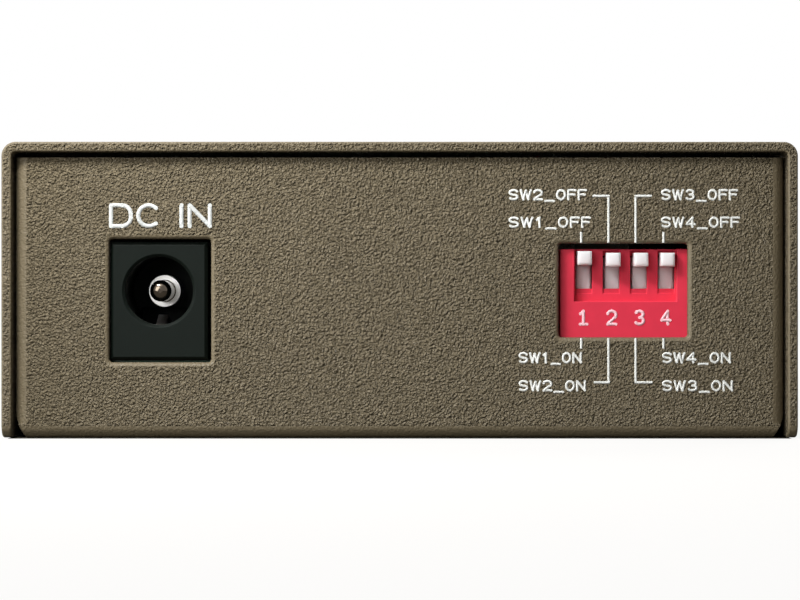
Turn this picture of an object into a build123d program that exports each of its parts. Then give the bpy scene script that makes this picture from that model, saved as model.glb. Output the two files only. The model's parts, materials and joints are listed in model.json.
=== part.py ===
"""Desktop fibre media converter: a folded steel case around one circuit board.

The board carries a coaxial power socket and a four-way slide switch at the back,
a duplex fibre transceiver, six indicator lamps and a network socket at the front.

Frame, in millimetres: x runs to the right as the back is looked at, y runs from
the back to the front, z runs up. The origin is at the middle of the underside.
"""

import os

from build123d import *

# Case: overall size, sheet and folds
case_width = 73.0
case_length = 94.5
case_height = 27.2
sheet = 0.9
bend_inside = 0.4
edge_round = 0.2
overrun = 1.0

# Cover: top and two side walls folded from one sheet
cover_lift = 0.05
cover_corner = 1.3
vent_count = 12
vent_pitch = 4.5
vent_width = 1.6
vent_height = 9.0
vent_centre_share = 0.57

# Base: floor, back panel and front panel folded from one sheet
panel_recess = 1.1
side_clearance = 0.15
top_clearance = 0.5
top_flange = 5.0
side_flange = 10.5
floor_flange = 5.0
floor_flange_relief = 12.5
corner_cut_width = 1.0
corner_cut_height = 2.0
cutout_corner = 0.3
cutout_round = 0.4
front_cutout_round = 0.2

# Countersunk screws that hold the cover to the side flanges of the panels
cover_screw_radius = 1.25
cover_screw_head_radius = 2.0
cover_screw_length = 4.5
cover_screw_inset = 6.0
cover_screw_height_share = 0.66
cover_screw_sink = 0.05
cover_screw_clearance = 0.05
cover_screw_collar_radius = 2.0
cover_screw_collar_height = 0.9
recess_length = 2.2
recess_width = 0.5
recess_depth = 0.6

# Circuit board, its posts and its screws
board_side_clearance = 0.65
board_end_clearance = 1.15
board_thickness = 1.6
board_height_share = 0.263
board_corner = 1.0
board_hole_radius = 1.6
post_radius = 2.6
post_sides = 6
post_bore_radius = 1.25
post_bore_depth = 4.0
post_foot_radius = 2.2
post_foot_clearance = 0.05
post_side_inset = 2.9
post_end_inset = 5.4
post_inner_inset = 4.4
post_inner_share = 0.14
board_screw_radius = 1.2
board_screw_head_radius = 2.4
board_screw_head_height = 1.7
board_screw_head_round = 0.6
board_screw_length = 4.8
tail_length = 3.2
tail_clearance = 0.15

# Power socket
jack_inset = 11.7
jack_width = 9.0
jack_height = 10.9
jack_length = 14.0
jack_front_length = 3.6
jack_setback = 0.6
jack_chamfer = 0.3
jack_axis_height = 6.4
jack_back_radius = 4.4
jack_bore_radius = 3.15
jack_bore_depth = 9.0
jack_bore_chamfer = 0.25
jack_side_clearance = 0.19
jack_cutout_shift = 0.15
jack_cutout_drop = 0.2
jack_cutout_rise = 0.26
pin_radius = 1.0
pin_setback = 1.2
pin_tip_round = 0.8
pin_collar_radius = 1.5
pin_collar_depth = 6.4
pin_root_radius = 0.7
pin_root_clearance = 0.05
tag_thickness = 0.4
tag_width = 2.4
tag_height = 1.6
leaf_width = 0.9
leaf_thickness = 0.3
leaf_clearance = 0.15
leaf_channel_width = 5.0
leaf_channel_start = 1.6
leaf_channel_drop = 3.9
leaf_channel_rise = 1.2
leaf_front_depth = 2.2
leaf_front_drop = 3.1
leaf_crest_depth = 5.0
leaf_crest_drop = 2.2
leaf_rear_depth = 11.0
leaf_rear_drop = 3.3
leaf_bend = 0.6
shunt_width = 1.2
shunt_depth = 7.6
shunt_reach = 1.8
shunt_drop = 3.05
shunt_bend = 0.4

# Slide switch: a cover with slots, a base, four sliders and their contacts
switch_inset = 13.03
switch_ways = 4
switch_pitch = 2.54
switch_width = 12.2
switch_height = 10.25
switch_setback = 1.05
switch_cover_length = 3.55
switch_base_length = 2.2
switch_seam = 0.05
switch_edge_round = 0.12
switch_cutout_width = 11.9
switch_cutout_height = 8.65
switch_cutout_rise = 6.43
switch_cutout_shift = -0.29
well_width = 9.5
well_height = 4.85
well_depth = 0.85
well_floor = 0.4
slot_width = 1.55
slot_top_margin = 0.15
slot_end_clearance = 0.05
slot_relief_height = 0.45
slot_relief_depth = 0.15
knob_width = 1.3
knob_height = 1.25
knob_proud = 0.85
knob_round = 0.2
slider_width = 1.85
slider_play = 0.15
slider_thickness = 1.2
slider_step = 0.8
slider_drop = 0.4
slider_overlap = 0.4
slider_clearance = 0.05
slider_travel = 2.15
slider_rests = [0, 0.15, 0.15, 0.15]
slider_shifts = [0, 0.11, 0.12, 0.03]
bridge_width = 1.0
bridge_thickness = 0.15
bridge_reach = 0.85
bridge_foot = 0.4
bridge_crest = 1.0
bridge_tip = 1.35
bridge_tip_reach = 0.5
bridge_bend = 0.2
pad_width = 0.9
pad_thickness = 0.2
pad_proud = 0.15
pad_split = 0.4
terminal_clearance = 0.05
terminal_width = 0.5
terminal_thickness = 0.2
terminal_front_depth = 4.3
terminal_back_depth = 6.1
terminal_bend = 0.3

# Network socket
port_gap_share = 0.073
port_width = 16.0
port_height = 13.5
port_length = 21.0
port_setback = 0.1
port_cutout_clearance = 0.2
port_rear_length = 17.8
shield_thickness = 0.25
shield_fit = 0.05
shield_tail_width = 1.8
shield_tail_depth = 9.0
shield_tongue_width = 2.2
shield_tongue_length = 5.0
shield_tongue_gap = 0.4
cavity_width = 11.9
cavity_height = 7.0
cavity_bottom = 3.9
cavity_depth = 13.0
latch_width = 6.2
latch_height = 1.2
latch_step_width = 3.8
latch_step_height = 1.2
comb_height = 1.6
comb_start = 0.9
comb_length = 3.2
comb_slot_width = 0.65
wire_count = 8
wire_pitch = 1.02
wire_width = 0.45
wire_thickness = 0.3
wire_bend = 0.5
wire_front_depth = 1.9
wire_front_drop = 1.8
wire_tip_depth = 9.5
wire_tip_height = 8.4
wire_top_height = 12.2
wire_rear_depth = 18.9

# Fibre transceiver with two ports
fibre_gap_share = 0.281
fibre_width = 25.4
fibre_height = 10.2
fibre_length = 39.0
fibre_proud = 1.0
fibre_nose_wall = 1.5
fibre_cutout_clearance = 0.25
fibre_wall = 1.2
fibre_floor = 1.0
fibre_lid_thickness = 1.0
fibre_lid_lip = 0.8
fibre_fit = 0.05
fibre_corner = 0.5
fibre_pitch = 12.7
fibre_port_width = 9.1
fibre_port_height = 7.5
fibre_port_depth = 12.5
fibre_port_corner = 0.3
fibre_port_centre = 4.9
key_width = 2.6
key_height = 0.7
ferrule_bore_radius = 1.26
ferrule_bore_depth = 7.0
ferrule_sleeve_radius = 2.1
ferrule_sleeve_start = 5.6
ferrule_seat_radius = 2.7
ferrule_seat_length = 1.0
hook_start = 5.2
hook_centre = 3.2
hook_thickness = 0.9
hook_height = 3.0
hook_nose = 0.4
hook_nose_length = 1.0
hook_yoke_thickness = 1.0
hook_yoke_fit = 0.1
can_radius = 2.4
can_flange_radius = 2.8
can_flange_length = 0.8
can_length = 3.4
can_lead_radius = 0.25
can_lead_spread = 1.27
can_lead_overlap = 1.6
can_lead_gap = 0.03
fibre_board_thickness = 0.8
fibre_board_length = 13.0
fibre_board_lift = 2.2
fibre_board_clearance = 0.5
fibre_pin_count = 9
fibre_pin_pitch = 2.54
fibre_pin_radius = 0.25
fibre_pin_inset = 4.0
fibre_pin_slot = 1.0
fibre_stud_radius = 0.6
fibre_stud_spread = 10.16
fibre_stud_inset = 26.0

# Indicator lamps in a common holder
lamp_gap_share = 0.095
lamp_columns = 3
lamp_pitch_x = 4.5
lamp_row_heights = [4.05, 9.05]
lamp_radius = 1.5
lamp_rim_radius = 1.85
lamp_rim_length = 1.0
lamp_length = 5.3
lamp_proud = 0.5
lamp_hole_clearance = 0.15
lamp_fit = 0.05
holder_wall = 0.65
holder_height = 11.5
holder_length = 4.4
holder_gap = 0.1
holder_chamfer = 0.4
lamp_lead_width = 0.5
lamp_lead_spread = 1.27
lamp_lead_bend = 0.5
lamp_lead_reaches = [1.6, 3.4]

# Parts soldered on the board, at shares of its half width and half length
lead_thickness = 0.2
chip_size = 14.0
chip_height = 1.4
chip_lift = 0.1
chip_chamfer = 0.25
chip_lead_count = 12
chip_lead_pitch = 1.0
chip_lead_width = 0.4
chip_lead_reach = 1.1
chip_lead_rise = 0.8
chip_shares = (0.177, -0.184)
chip_mark_margin = 1.0
chip_mark_radius = 0.6
chip_mark_depth = 0.1
magnetics_width = 9.0
magnetics_length = 12.7
magnetics_height = 5.6
magnetics_lead_count = 8
magnetics_lead_pitch = 1.27
magnetics_lead_width = 0.5
magnetics_gap = 4.0
memory_width = 3.9
memory_length = 4.9
memory_height = 1.5
memory_lead_count = 4
memory_shares = (-0.266, -0.438)
crystal_length = 11.0
crystal_width = 4.6
crystal_height = 3.5
crystal_rim = 0.4
crystal_rim_height = 0.5
crystal_round = 0.4
crystal_shares = (0.737, -0.184)
coil_size = 7.3
coil_height = 4.2
coil_corner = 1.6
coil_ring_outer = 3.2
coil_ring_inner = 2.6
coil_ring_depth = 0.6
coil_shares = (-0.531, -0.484)
capacitor_shares = [(-0.855, -0.438), (-0.723, -0.184), (0.855, -0.507)]
capacitor_radii = [4.0, 3.15, 3.15]
capacitor_heights = [11.5, 9.0, 9.0]
capacitor_lift = 0.1
capacitor_round = 0.6
capacitor_score_width = 0.3
capacitor_score_depth = 0.15
capacitor_score_share = 0.7
regulator_width = 6.5
regulator_length = 3.5
regulator_height = 1.6
regulator_lead_count = 3
regulator_lead_pitch = 2.3
regulator_lead_width = 0.7
regulator_lead_reach = 1.3
regulator_tab_width = 3.0
regulator_shares = (-0.457, -0.276)
passive_length = 1.6
passive_width = 0.8
passive_height = 0.5
passive_rows = 3
passive_columns = [7, 4]
passive_pitch_x = 2.6
passive_pitch_y = 2.2
passive_shares = [(-0.03, -0.714), (0.118, 0.277)]

# Values that several pieces share
bend_outside = bend_inside + sheet
cover_inside_x = case_width / 2 - sheet
cover_inside_z = case_height - sheet
back_y = panel_recess - case_length / 2
front_y = -back_y
back_inside_y = back_y + sheet
front_inside_y = front_y - sheet
panel_half_width = cover_inside_x - side_clearance
panel_top = cover_inside_z - top_clearance
flange_inside_x = panel_half_width - sheet
cover_screw_y = front_y - cover_screw_inset
cover_screw_z = cover_screw_height_share * case_height
vent_centre_z = vent_centre_share * case_height
board_width = 2 * (flange_inside_x - board_side_clearance)
board_length = 2 * (front_inside_y - board_end_clearance)
board_top = board_height_share * case_height
board_bottom = board_top - board_thickness
tail_bottom = board_top - tail_length
upright = 90
right_angle = 90
holder_width = (lamp_columns - 1) * lamp_pitch_x + 2 * (lamp_rim_radius + holder_wall)
front_spare = 2 * flange_inside_x - fibre_width - holder_width - port_width
fibre_x = fibre_gap_share * front_spare + fibre_width / 2 - flange_inside_x
lamp_x = fibre_x + fibre_width / 2 + lamp_gap_share * front_spare + holder_width / 2
port_x = lamp_x + holder_width / 2 + port_gap_share * front_spare + port_width / 2
jack_x = jack_inset - board_width / 2
switch_x = board_width / 2 - switch_inset
jack_face_y = back_y + jack_setback
jack_axis_z = board_top + jack_axis_height
switch_face_y = back_y + switch_setback
switch_top = board_top + switch_height
way_shares = [way - (switch_ways - 1) / 2 for way in range(switch_ways)]
way_places_x = [switch_x + share * switch_pitch for share in way_shares]
slider_places_x = [x + shift for x, shift in zip(way_places_x, slider_shifts)]
slot_top = switch_top - slot_top_margin
knob_top = slot_top - slot_end_clearance
knob_bottom = knob_top - knob_height
slot_bottom = knob_bottom - slider_travel - slot_end_clearance
slider_top = knob_top - slider_drop
slider_bottom = slot_bottom - slider_overlap
slider_middle_z = (slider_top + slider_bottom) / 2
slider_depth = well_depth + well_floor + slider_clearance
bridge_depth = slider_depth + slider_thickness
channel_bottom = slider_bottom - slider_travel - slider_clearance
channel_top = slider_top + slider_clearance
switch_base_depth = switch_cover_length + switch_seam
pad_depth = switch_base_depth - pad_proud
pad_middle_z = slider_middle_z - slider_travel
upper_pad = (pad_middle_z + pad_split / 2, channel_top - terminal_clearance)
lower_pad = (channel_bottom + terminal_clearance, pad_middle_z - pad_split / 2)
port_front_y = front_y - port_setback
port_left = port_x - port_width / 2
port_right = port_x + port_width / 2
fibre_front_y = front_y + fibre_proud
fibre_rear_y = fibre_front_y - fibre_length
post_side_x = board_width / 2 - post_side_inset
post_end_y = board_length / 2 - post_end_inset
post_inner_y = fibre_rear_y - post_inner_share * (fibre_rear_y - jack_face_y - jack_length)
post_places = [
    (-post_side_x, -post_end_y),
    (post_side_x, -post_end_y),
    (post_side_x, post_end_y),
    (post_inner_inset - board_width / 2, post_inner_y),
]
fibre_nose_length = fibre_port_depth + fibre_nose_wall
fibre_nose_y = fibre_front_y - fibre_nose_length
fibre_axis_z = board_top + fibre_port_centre
fibre_ports_x = [fibre_x - fibre_pitch / 2, fibre_x + fibre_pitch / 2]
fibre_board_bottom = board_top + fibre_floor + fibre_board_lift
fibre_pin_y = fibre_rear_y + fibre_pin_inset
fibre_stud_y = fibre_rear_y + fibre_stud_inset
fibre_studs = [
    (fibre_x - fibre_stud_spread, fibre_stud_y),
    (fibre_x + fibre_stud_spread, fibre_stud_y),
]
lamp_rows_z = [board_top + height for height in lamp_row_heights]
lamp_tip_y = front_y + lamp_proud
lamp_rear_y = lamp_tip_y - lamp_length
holder_front_y = front_inside_y - holder_gap
holder_rear_y = holder_front_y - holder_length
lamp_shares = [column - (lamp_columns - 1) / 2 for column in range(lamp_columns)]
lamp_places_x = [lamp_x + share * lamp_pitch_x for share in lamp_shares]
lamp_leads_x = [x + side * lamp_lead_spread for x in lamp_places_x for side in (-1, 1)]
lamp_tails_y = [lamp_rear_y - reach - lamp_lead_width / 2 for reach in lamp_lead_reaches]
leaf_tail_y = jack_face_y + leaf_rear_depth - leaf_thickness / 2
shunt_tail_y = jack_face_y + shunt_depth - leaf_thickness / 2
tag_y = jack_face_y + jack_length + tag_thickness / 2
terminal_rows_y = [
    switch_face_y + terminal_front_depth - terminal_thickness / 2,
    switch_face_y + terminal_back_depth - terminal_thickness / 2,
]
wire_shares = [wire - (wire_count - 1) / 2 for wire in range(wire_count)]
wire_places_x = [port_x + share * wire_pitch for share in wire_shares]
wire_tail_y = port_front_y - wire_rear_depth + wire_thickness / 2
shield_tail_y = port_front_y - shield_tail_depth
fibre_pin_shares = [pin - (fibre_pin_count - 1) / 2 for pin in range(fibre_pin_count)]
fibre_pins_x = [fibre_x + share * fibre_pin_pitch for share in fibre_pin_shares]


magnetics_y = port_front_y - port_length - magnetics_gap - magnetics_length / 2
magnetics_place = (port_x, magnetics_y)


def on_board(shares):
    """Place on the board at shares of its half width and half length."""
    return (shares[0] * board_width / 2, shares[1] * board_length / 2)


def across(y):
    """Plane across the case at y, with x to the right and z up, facing the back."""
    return Plane.XZ.offset(-y)


def along(x):
    """Plane along the case at x, with y to the front and z up."""
    return Plane.YZ.offset(x)


def from_back(x, y, z):
    """Plane along the case with its origin at a point, its x running to the front."""
    return Plane(origin=(x, y, z), x_dir=(0, 1, 0), z_dir=(1, 0, 0))


def from_front(x, y, z):
    """Plane along the case with its origin at a point, its x running to the back."""
    return Plane(origin=(x, y, z), x_dir=(0, -1, 0), z_dir=(-1, 0, 0))


def level(z):
    """Plane parallel to the floor at z."""
    return Plane.XY.offset(z)


def between(left, right, low, high, mode=Mode.ADD):
    """Draws the rectangle between two places each way in the sketch being drawn."""
    with Locations(((left + right) / 2, (low + high) / 2)):
        Rectangle(right - left, high - low, mode=mode)


def strip(points, thickness, radius, side=Side.LEFT):
    """Profile of a folded strip that follows the points, with its folds rounded."""
    with BuildSketch() as profile:
        with BuildLine():
            FilletPolyline(*points, radius=radius)
            offset(amount=thickness, side=side)
        make_face()
    return profile.sketch_local


def bars(places_x, width):
    """Draws bars as long as the case at the given places, to part a strip into leads."""
    with Locations(*[(x, 0) for x in places_x]):
        Rectangle(width, case_length)


def cross_recess():
    """Cuts a cross recess into a screw head, down from the present place."""
    for length, width in ((recess_length, recess_width), (recess_width, recess_length)):
        Box(length, width, 2 * recess_depth, mode=Mode.SUBTRACT)


def gull_leads(body_width, count, pitch, width, reach, rise):
    """Two rows of gull-wing leads, left and right of a body over the frame's origin."""
    half = body_width / 2
    row = (count - 1) * pitch + width
    with BuildPart() as leads:
        with BuildSketch(Plane.XZ):
            for side in (-1, 1):
                points = [
                    (side * half, board_top + rise),
                    (side * (half + reach / 2), board_top + rise),
                    (side * (half + reach / 2), board_top),
                    (side * (half + reach), board_top),
                ]
                upper = Side.LEFT if side > 0 else Side.RIGHT
                add(strip(points, lead_thickness, lead_thickness, upper))
        extrude(amount=row / 2, both=True)
        with BuildSketch(level(board_top)):
            with GridLocations(0, pitch, 1, count - 1):
                Rectangle(body_width + 2 * reach + overrun, pitch - width)
        extrude(amount=rise + 2 * lead_thickness, mode=Mode.SUBTRACT)
    return leads.part


os.makedirs("parts", exist_ok=True)

# Cover shell
cover_outline = [
    (-case_width / 2, cover_lift),
    (-case_width / 2, case_height),
    (case_width / 2, case_height),
    (case_width / 2, cover_lift),
]
with BuildPart() as cover_shell:
    with BuildSketch(Plane.XZ):
        add(strip(cover_outline, sheet, bend_outside, Side.RIGHT))
    extrude(amount=case_length / 2, both=True)
    fillet(cover_shell.edges().filter_by(Axis.X).group_by(Axis.Z)[0], cover_corner)
    ends = cover_shell.faces().filter_by(Axis.Y).sort_by(Axis.Y)
    fillet(ends[0].edges() + ends[-1].edges(), edge_round)
    with BuildSketch(along(-case_width / 2 - overrun)):
        with Locations((0, vent_centre_z)):
            with GridLocations(vent_pitch, 0, vent_count, 1):
                SlotOverall(vent_height, vent_width, rotation=upright)
    extrude(amount=case_width + 2 * overrun, mode=Mode.SUBTRACT)
    for side in (-1, 1):
        outside = Plane(
            origin=(side * case_width / 2, 0, cover_screw_z),
            x_dir=(0, 1, 0),
            z_dir=(side, 0, 0),
        )
        with Locations(outside):
            with GridLocations(2 * cover_screw_y, 0, 2, 1):
                CounterSinkHole(
                    radius=cover_screw_radius + cover_screw_clearance,
                    counter_sink_radius=cover_screw_head_radius + cover_screw_clearance,
                    depth=2 * sheet,
                    counter_sink_angle=right_angle,
                )
cover_shell.part.label = "cover_shell"
export_step(cover_shell.part, "parts/cover_shell.step")

# Base tray
tray_outline = [
    (back_y + top_flange, panel_top),
    (back_y, panel_top),
    (back_y, 0),
    (front_y, 0),
    (front_y, panel_top),
    (front_y - top_flange, panel_top),
]
floor_outline = [
    (-panel_half_width, floor_flange),
    (-panel_half_width, 0),
    (panel_half_width, 0),
    (panel_half_width, floor_flange),
]
floor_fold_half_length = front_y - floor_flange_relief
jack_cutout_low = board_top - jack_cutout_drop
jack_cutout_high = board_top + jack_height + jack_cutout_rise
with BuildPart() as base_tray:
    with BuildSketch(Plane.YZ):
        add(strip(tray_outline, sheet, bend_outside))
    extrude(amount=panel_half_width, both=True)
    # The panels' side edges and the floor's side edges give way to their own folds
    with BuildSketch(level(bend_outside)):
        for side in (-1, 1):
            with Locations((side * panel_half_width, 0)):
                Rectangle(2 * bend_outside, case_length)
    extrude(amount=case_height, mode=Mode.SUBTRACT)
    with BuildSketch(level(0)):
        for side in (-1, 1):
            with Locations((side * panel_half_width, 0)):
                Rectangle(2 * bend_outside, 2 * floor_fold_half_length)
    extrude(amount=bend_outside, mode=Mode.SUBTRACT)
    with BuildSketch(level(bend_outside)):
        for end in (-1, 1):
            panel_outline = [
                (-panel_half_width, end * (front_y - side_flange)),
                (-panel_half_width, end * front_y),
                (panel_half_width, end * front_y),
                (panel_half_width, end * (front_y - side_flange)),
            ]
            inner = Side.RIGHT if end > 0 else Side.LEFT
            add(strip(panel_outline, sheet, bend_outside, inner))
    extrude(amount=panel_top - bend_outside)
    # The side folds end under the rounded top fold
    with BuildSketch(Plane.YZ):
        with Locations((0, panel_top / 2)):
            RectangleRounded(2 * front_y, panel_top, bend_outside)
    extrude(amount=panel_half_width, both=True, mode=Mode.INTERSECT)
    with BuildSketch(Plane.XZ):
        add(strip(floor_outline, sheet, bend_outside))
    extrude(amount=floor_fold_half_length, both=True)
    # Slanted cuts at the four lower corners
    for end in (-1, 1):
        with BuildSketch(across(end * (front_y + overrun))):
            with BuildLine():
                Polyline(
                    (panel_half_width - corner_cut_width, 0),
                    (panel_half_width, corner_cut_height),
                    (panel_half_width + overrun, corner_cut_height),
                    (panel_half_width + overrun, -overrun),
                    (panel_half_width - corner_cut_width, -overrun),
                    close=True,
                )
            make_face()
            mirror(about=Plane.YZ)
        extrude(amount=end * (floor_flange_relief + overrun), mode=Mode.SUBTRACT)
    # Back panel openings
    with BuildSketch(across(back_inside_y)):
        with Locations((jack_x + jack_cutout_shift, (jack_cutout_low + jack_cutout_high) / 2)):
            RectangleRounded(
                jack_width + 2 * jack_side_clearance,
                jack_cutout_high - jack_cutout_low,
                cutout_corner,
            )
        with Locations((switch_x + switch_cutout_shift, board_top + switch_cutout_rise)):
            RectangleRounded(switch_cutout_width, switch_cutout_height, cutout_corner)
    extrude(amount=sheet + overrun, mode=Mode.SUBTRACT)
    # Front panel openings
    with BuildSketch(across(front_y + overrun)):
        with Locations((port_x, board_top + port_height / 2)):
            RectangleRounded(
                port_width + 2 * port_cutout_clearance,
                port_height + 2 * port_cutout_clearance,
                cutout_corner,
            )
        with Locations((fibre_x, board_top + fibre_height / 2)):
            RectangleRounded(
                fibre_width + 2 * fibre_cutout_clearance,
                fibre_height + 2 * fibre_cutout_clearance,
                cutout_corner,
            )
        with Locations(*[(x, z) for x in lamp_places_x for z in lamp_rows_z]):
            Circle(lamp_radius + lamp_hole_clearance)
    extrude(amount=sheet + 2 * overrun, mode=Mode.SUBTRACT)
    # The outer edges of the openings are rounded
    for end, radius in ((0, cutout_round), (-1, front_cutout_round)):
        panel = base_tray.faces().filter_by(Axis.Y).sort_by(Axis.Y)[end]
        fillet([edge for rim in panel.inner_wires() for edge in rim.edges()], radius)
    # Collars for the cover screws, and holes for the feet of the board's posts
    for side in (-1, 1):
        inward = Plane(
            origin=(side * flange_inside_x, 0, cover_screw_z),
            x_dir=(0, 1, 0),
            z_dir=(-side, 0, 0),
        )
        with BuildSketch(inward):
            with GridLocations(2 * cover_screw_y, 0, 2, 1):
                Circle(cover_screw_collar_radius)
        extrude(amount=cover_screw_collar_height)
        with BuildSketch(inward.offset(cover_screw_collar_height)):
            with GridLocations(2 * cover_screw_y, 0, 2, 1):
                Circle(cover_screw_radius + cover_screw_clearance)
        extrude(amount=-(cover_screw_collar_height + 2 * sheet), mode=Mode.SUBTRACT)
    with BuildSketch(level(0)):
        with Locations(*post_places):
            Circle(post_foot_radius + post_foot_clearance)
    extrude(amount=sheet, mode=Mode.SUBTRACT)
base_tray.part.label = "base_tray"
export_step(base_tray.part, "parts/base_tray.step")

# Cover screws
with BuildPart() as cover_screws:
    for side in (-1, 1):
        head = Plane(
            origin=(side * (case_width / 2 - cover_screw_sink), 0, cover_screw_z),
            x_dir=(0, 1, 0),
            z_dir=(-side, 0, 0),
        )
        with Locations(head):
            with GridLocations(2 * cover_screw_y, 0, 2, 1):
                Cone(
                    cover_screw_head_radius,
                    cover_screw_radius,
                    cover_screw_head_radius - cover_screw_radius,
                    align=(Align.CENTER, Align.CENTER, Align.MIN),
                )
                Cylinder(
                    cover_screw_radius,
                    cover_screw_length,
                    align=(Align.CENTER, Align.CENTER, Align.MIN),
                )
                cross_recess()
cover_screws.part.label = "cover_screws"
export_step(cover_screws.part, "parts/cover_screws.step")

# Posts pressed into the floor under the board
with BuildPart() as board_posts:
    with BuildSketch(level(sheet)):
        with Locations(*post_places):
            RegularPolygon(post_radius, post_sides)
    extrude(amount=board_bottom - sheet)
    with BuildSketch(level(0)):
        with Locations(*post_places):
            Circle(post_foot_radius)
    extrude(amount=sheet)
    with BuildSketch(level(board_bottom)):
        with Locations(*post_places):
            Circle(post_bore_radius)
    extrude(amount=-post_bore_depth, mode=Mode.SUBTRACT)
board_posts.part.label = "board_posts"
export_step(board_posts.part, "parts/board_posts.step")

# Board screws
screw_head_top = board_top + board_screw_head_height
with BuildPart() as board_screws:
    with BuildSketch(level(board_top)):
        with Locations(*post_places):
            Circle(board_screw_head_radius)
    extrude(amount=board_screw_head_height)
    fillet(board_screws.edges().group_by(Axis.Z)[-1], board_screw_head_round)
    with BuildSketch(level(board_top)):
        with Locations(*post_places):
            Circle(board_screw_radius)
    extrude(amount=-board_screw_length)
    with Locations(*[(x, y, screw_head_top) for x, y in post_places]):
        cross_recess()
board_screws.part.label = "board_screws"
export_step(board_screws.part, "parts/board_screws.step")

# Circuit board, with a hole for every lead that passes through it
lead_hole = terminal_width / 2 + tail_clearance
with BuildPart() as circuit_board:
    with BuildSketch(level(board_bottom)):
        RectangleRounded(board_width, board_length, board_corner)
        with Locations(*post_places):
            Circle(board_hole_radius, mode=Mode.SUBTRACT)
        for tail_width, tail_y in (
            (leaf_width, leaf_tail_y),
            (shunt_width, shunt_tail_y),
            (tag_width, tag_y),
        ):
            with Locations((jack_x, tail_y)):
                Rectangle(
                    tail_width + 2 * tail_clearance,
                    tag_thickness + 2 * tail_clearance,
                    mode=Mode.SUBTRACT,
                )
        with Locations(*[(x, y) for x in way_places_x for y in terminal_rows_y]):
            Circle(lead_hole, mode=Mode.SUBTRACT)
        with Locations(*[(x, wire_tail_y) for x in wire_places_x]):
            Circle(lead_hole, mode=Mode.SUBTRACT)
        with Locations((port_left, shield_tail_y), (port_right, shield_tail_y)):
            Rectangle(
                2 * (shield_thickness + tail_clearance),
                shield_tail_width + 2 * tail_clearance,
                mode=Mode.SUBTRACT,
            )
        with Locations(*[(x, fibre_pin_y) for x in fibre_pins_x]):
            Circle(fibre_pin_radius + tail_clearance, mode=Mode.SUBTRACT)
        with Locations(*fibre_studs):
            Circle(fibre_stud_radius + tail_clearance, mode=Mode.SUBTRACT)
        with Locations(*[(x, y) for x in lamp_leads_x for y in lamp_tails_y]):
            Circle(lead_hole, mode=Mode.SUBTRACT)
    extrude(amount=board_thickness)
circuit_board.part.label = "circuit_board"
export_step(circuit_board.part, "parts/circuit_board.step")

# Power socket housing: a square front on a round-backed body with a bore
leaf_half_width = leaf_width / 2 + leaf_clearance
jack_left = jack_x - jack_width / 2
jack_right = jack_x + jack_width / 2
with BuildPart() as power_socket_housing:
    with BuildSketch(across(jack_face_y)):
        between(jack_left, jack_right, board_top, board_top + jack_height)
    extrude(amount=-jack_front_length)
    chamfer(power_socket_housing.faces().sort_by(Axis.Y)[0].edges(), jack_chamfer)
    with BuildSketch(across(jack_face_y + jack_front_length)):
        between(jack_x - jack_back_radius, jack_x + jack_back_radius, board_top, jack_axis_z)
        with Locations((jack_x, jack_axis_z)):
            Circle(jack_back_radius)
    extrude(amount=jack_front_length - jack_length)
    with BuildSketch(across(jack_face_y)):
        with Locations((jack_x, jack_axis_z)):
            Circle(jack_bore_radius)
    extrude(amount=-jack_bore_depth, mode=Mode.SUBTRACT)
    mouth = power_socket_housing.faces().sort_by(Axis.Y)[0].inner_wires()[0]
    chamfer(mouth.edges(), jack_bore_chamfer)
    # Hole for the root of the pin, and the channel that the leaf lies in
    with BuildSketch(across(jack_face_y + jack_bore_depth)):
        with Locations((jack_x, jack_axis_z)):
            Circle(pin_root_radius + pin_root_clearance)
    extrude(amount=jack_bore_depth - jack_length, mode=Mode.SUBTRACT)
    with BuildSketch(across(jack_face_y + leaf_channel_start)):
        between(
            jack_x - leaf_channel_width / 2,
            jack_x + leaf_channel_width / 2,
            jack_axis_z - leaf_channel_drop,
            jack_axis_z - pin_collar_radius - pin_root_clearance,
        )
    extrude(amount=leaf_channel_start - leaf_rear_depth - leaf_clearance, mode=Mode.SUBTRACT)
    with BuildSketch(level(board_top)):
        with Locations((jack_x, leaf_tail_y)):
            Rectangle(2 * leaf_half_width, leaf_thickness + 2 * leaf_clearance)
        with Locations((jack_x, shunt_tail_y)):
            Rectangle(shunt_width + 2 * leaf_clearance, leaf_thickness + 2 * leaf_clearance)
    extrude(amount=jack_axis_height - leaf_channel_drop, mode=Mode.SUBTRACT)
power_socket_housing.part.label = "power_socket_housing"
export_step(power_socket_housing.part, "parts/power_socket_housing.step")

# Power socket pin, turned in one piece, with its tag riveted on at the back
pin_back_depth = jack_length + tag_thickness
with BuildPart() as power_socket_pin:
    with BuildSketch(from_back(jack_x, jack_face_y, jack_axis_z)):
        with BuildLine():
            Polyline(
                (pin_setback, 0),
                (pin_setback, pin_radius),
                (pin_collar_depth, pin_radius),
                (pin_collar_depth, pin_collar_radius),
                (jack_bore_depth, pin_collar_radius),
                (jack_bore_depth, pin_root_radius),
                (pin_back_depth, pin_root_radius),
                (pin_back_depth, 0),
                close=True,
            )
        make_face()
    revolve(axis=Axis((jack_x, jack_face_y, jack_axis_z), (0, 1, 0)))
    tip = power_socket_pin.faces().sort_by(Axis.Y)[0]
    fillet(tip.edges(), pin_tip_round)
    with BuildSketch(across(jack_face_y + jack_length)):
        between(
            jack_x - tag_width / 2,
            jack_x + tag_width / 2,
            tail_bottom,
            jack_axis_z + tag_height,
        )
    extrude(amount=-tag_thickness)
power_socket_pin.part.label = "power_socket_pin"
export_step(power_socket_pin.part, "parts/power_socket_pin.step")

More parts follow.
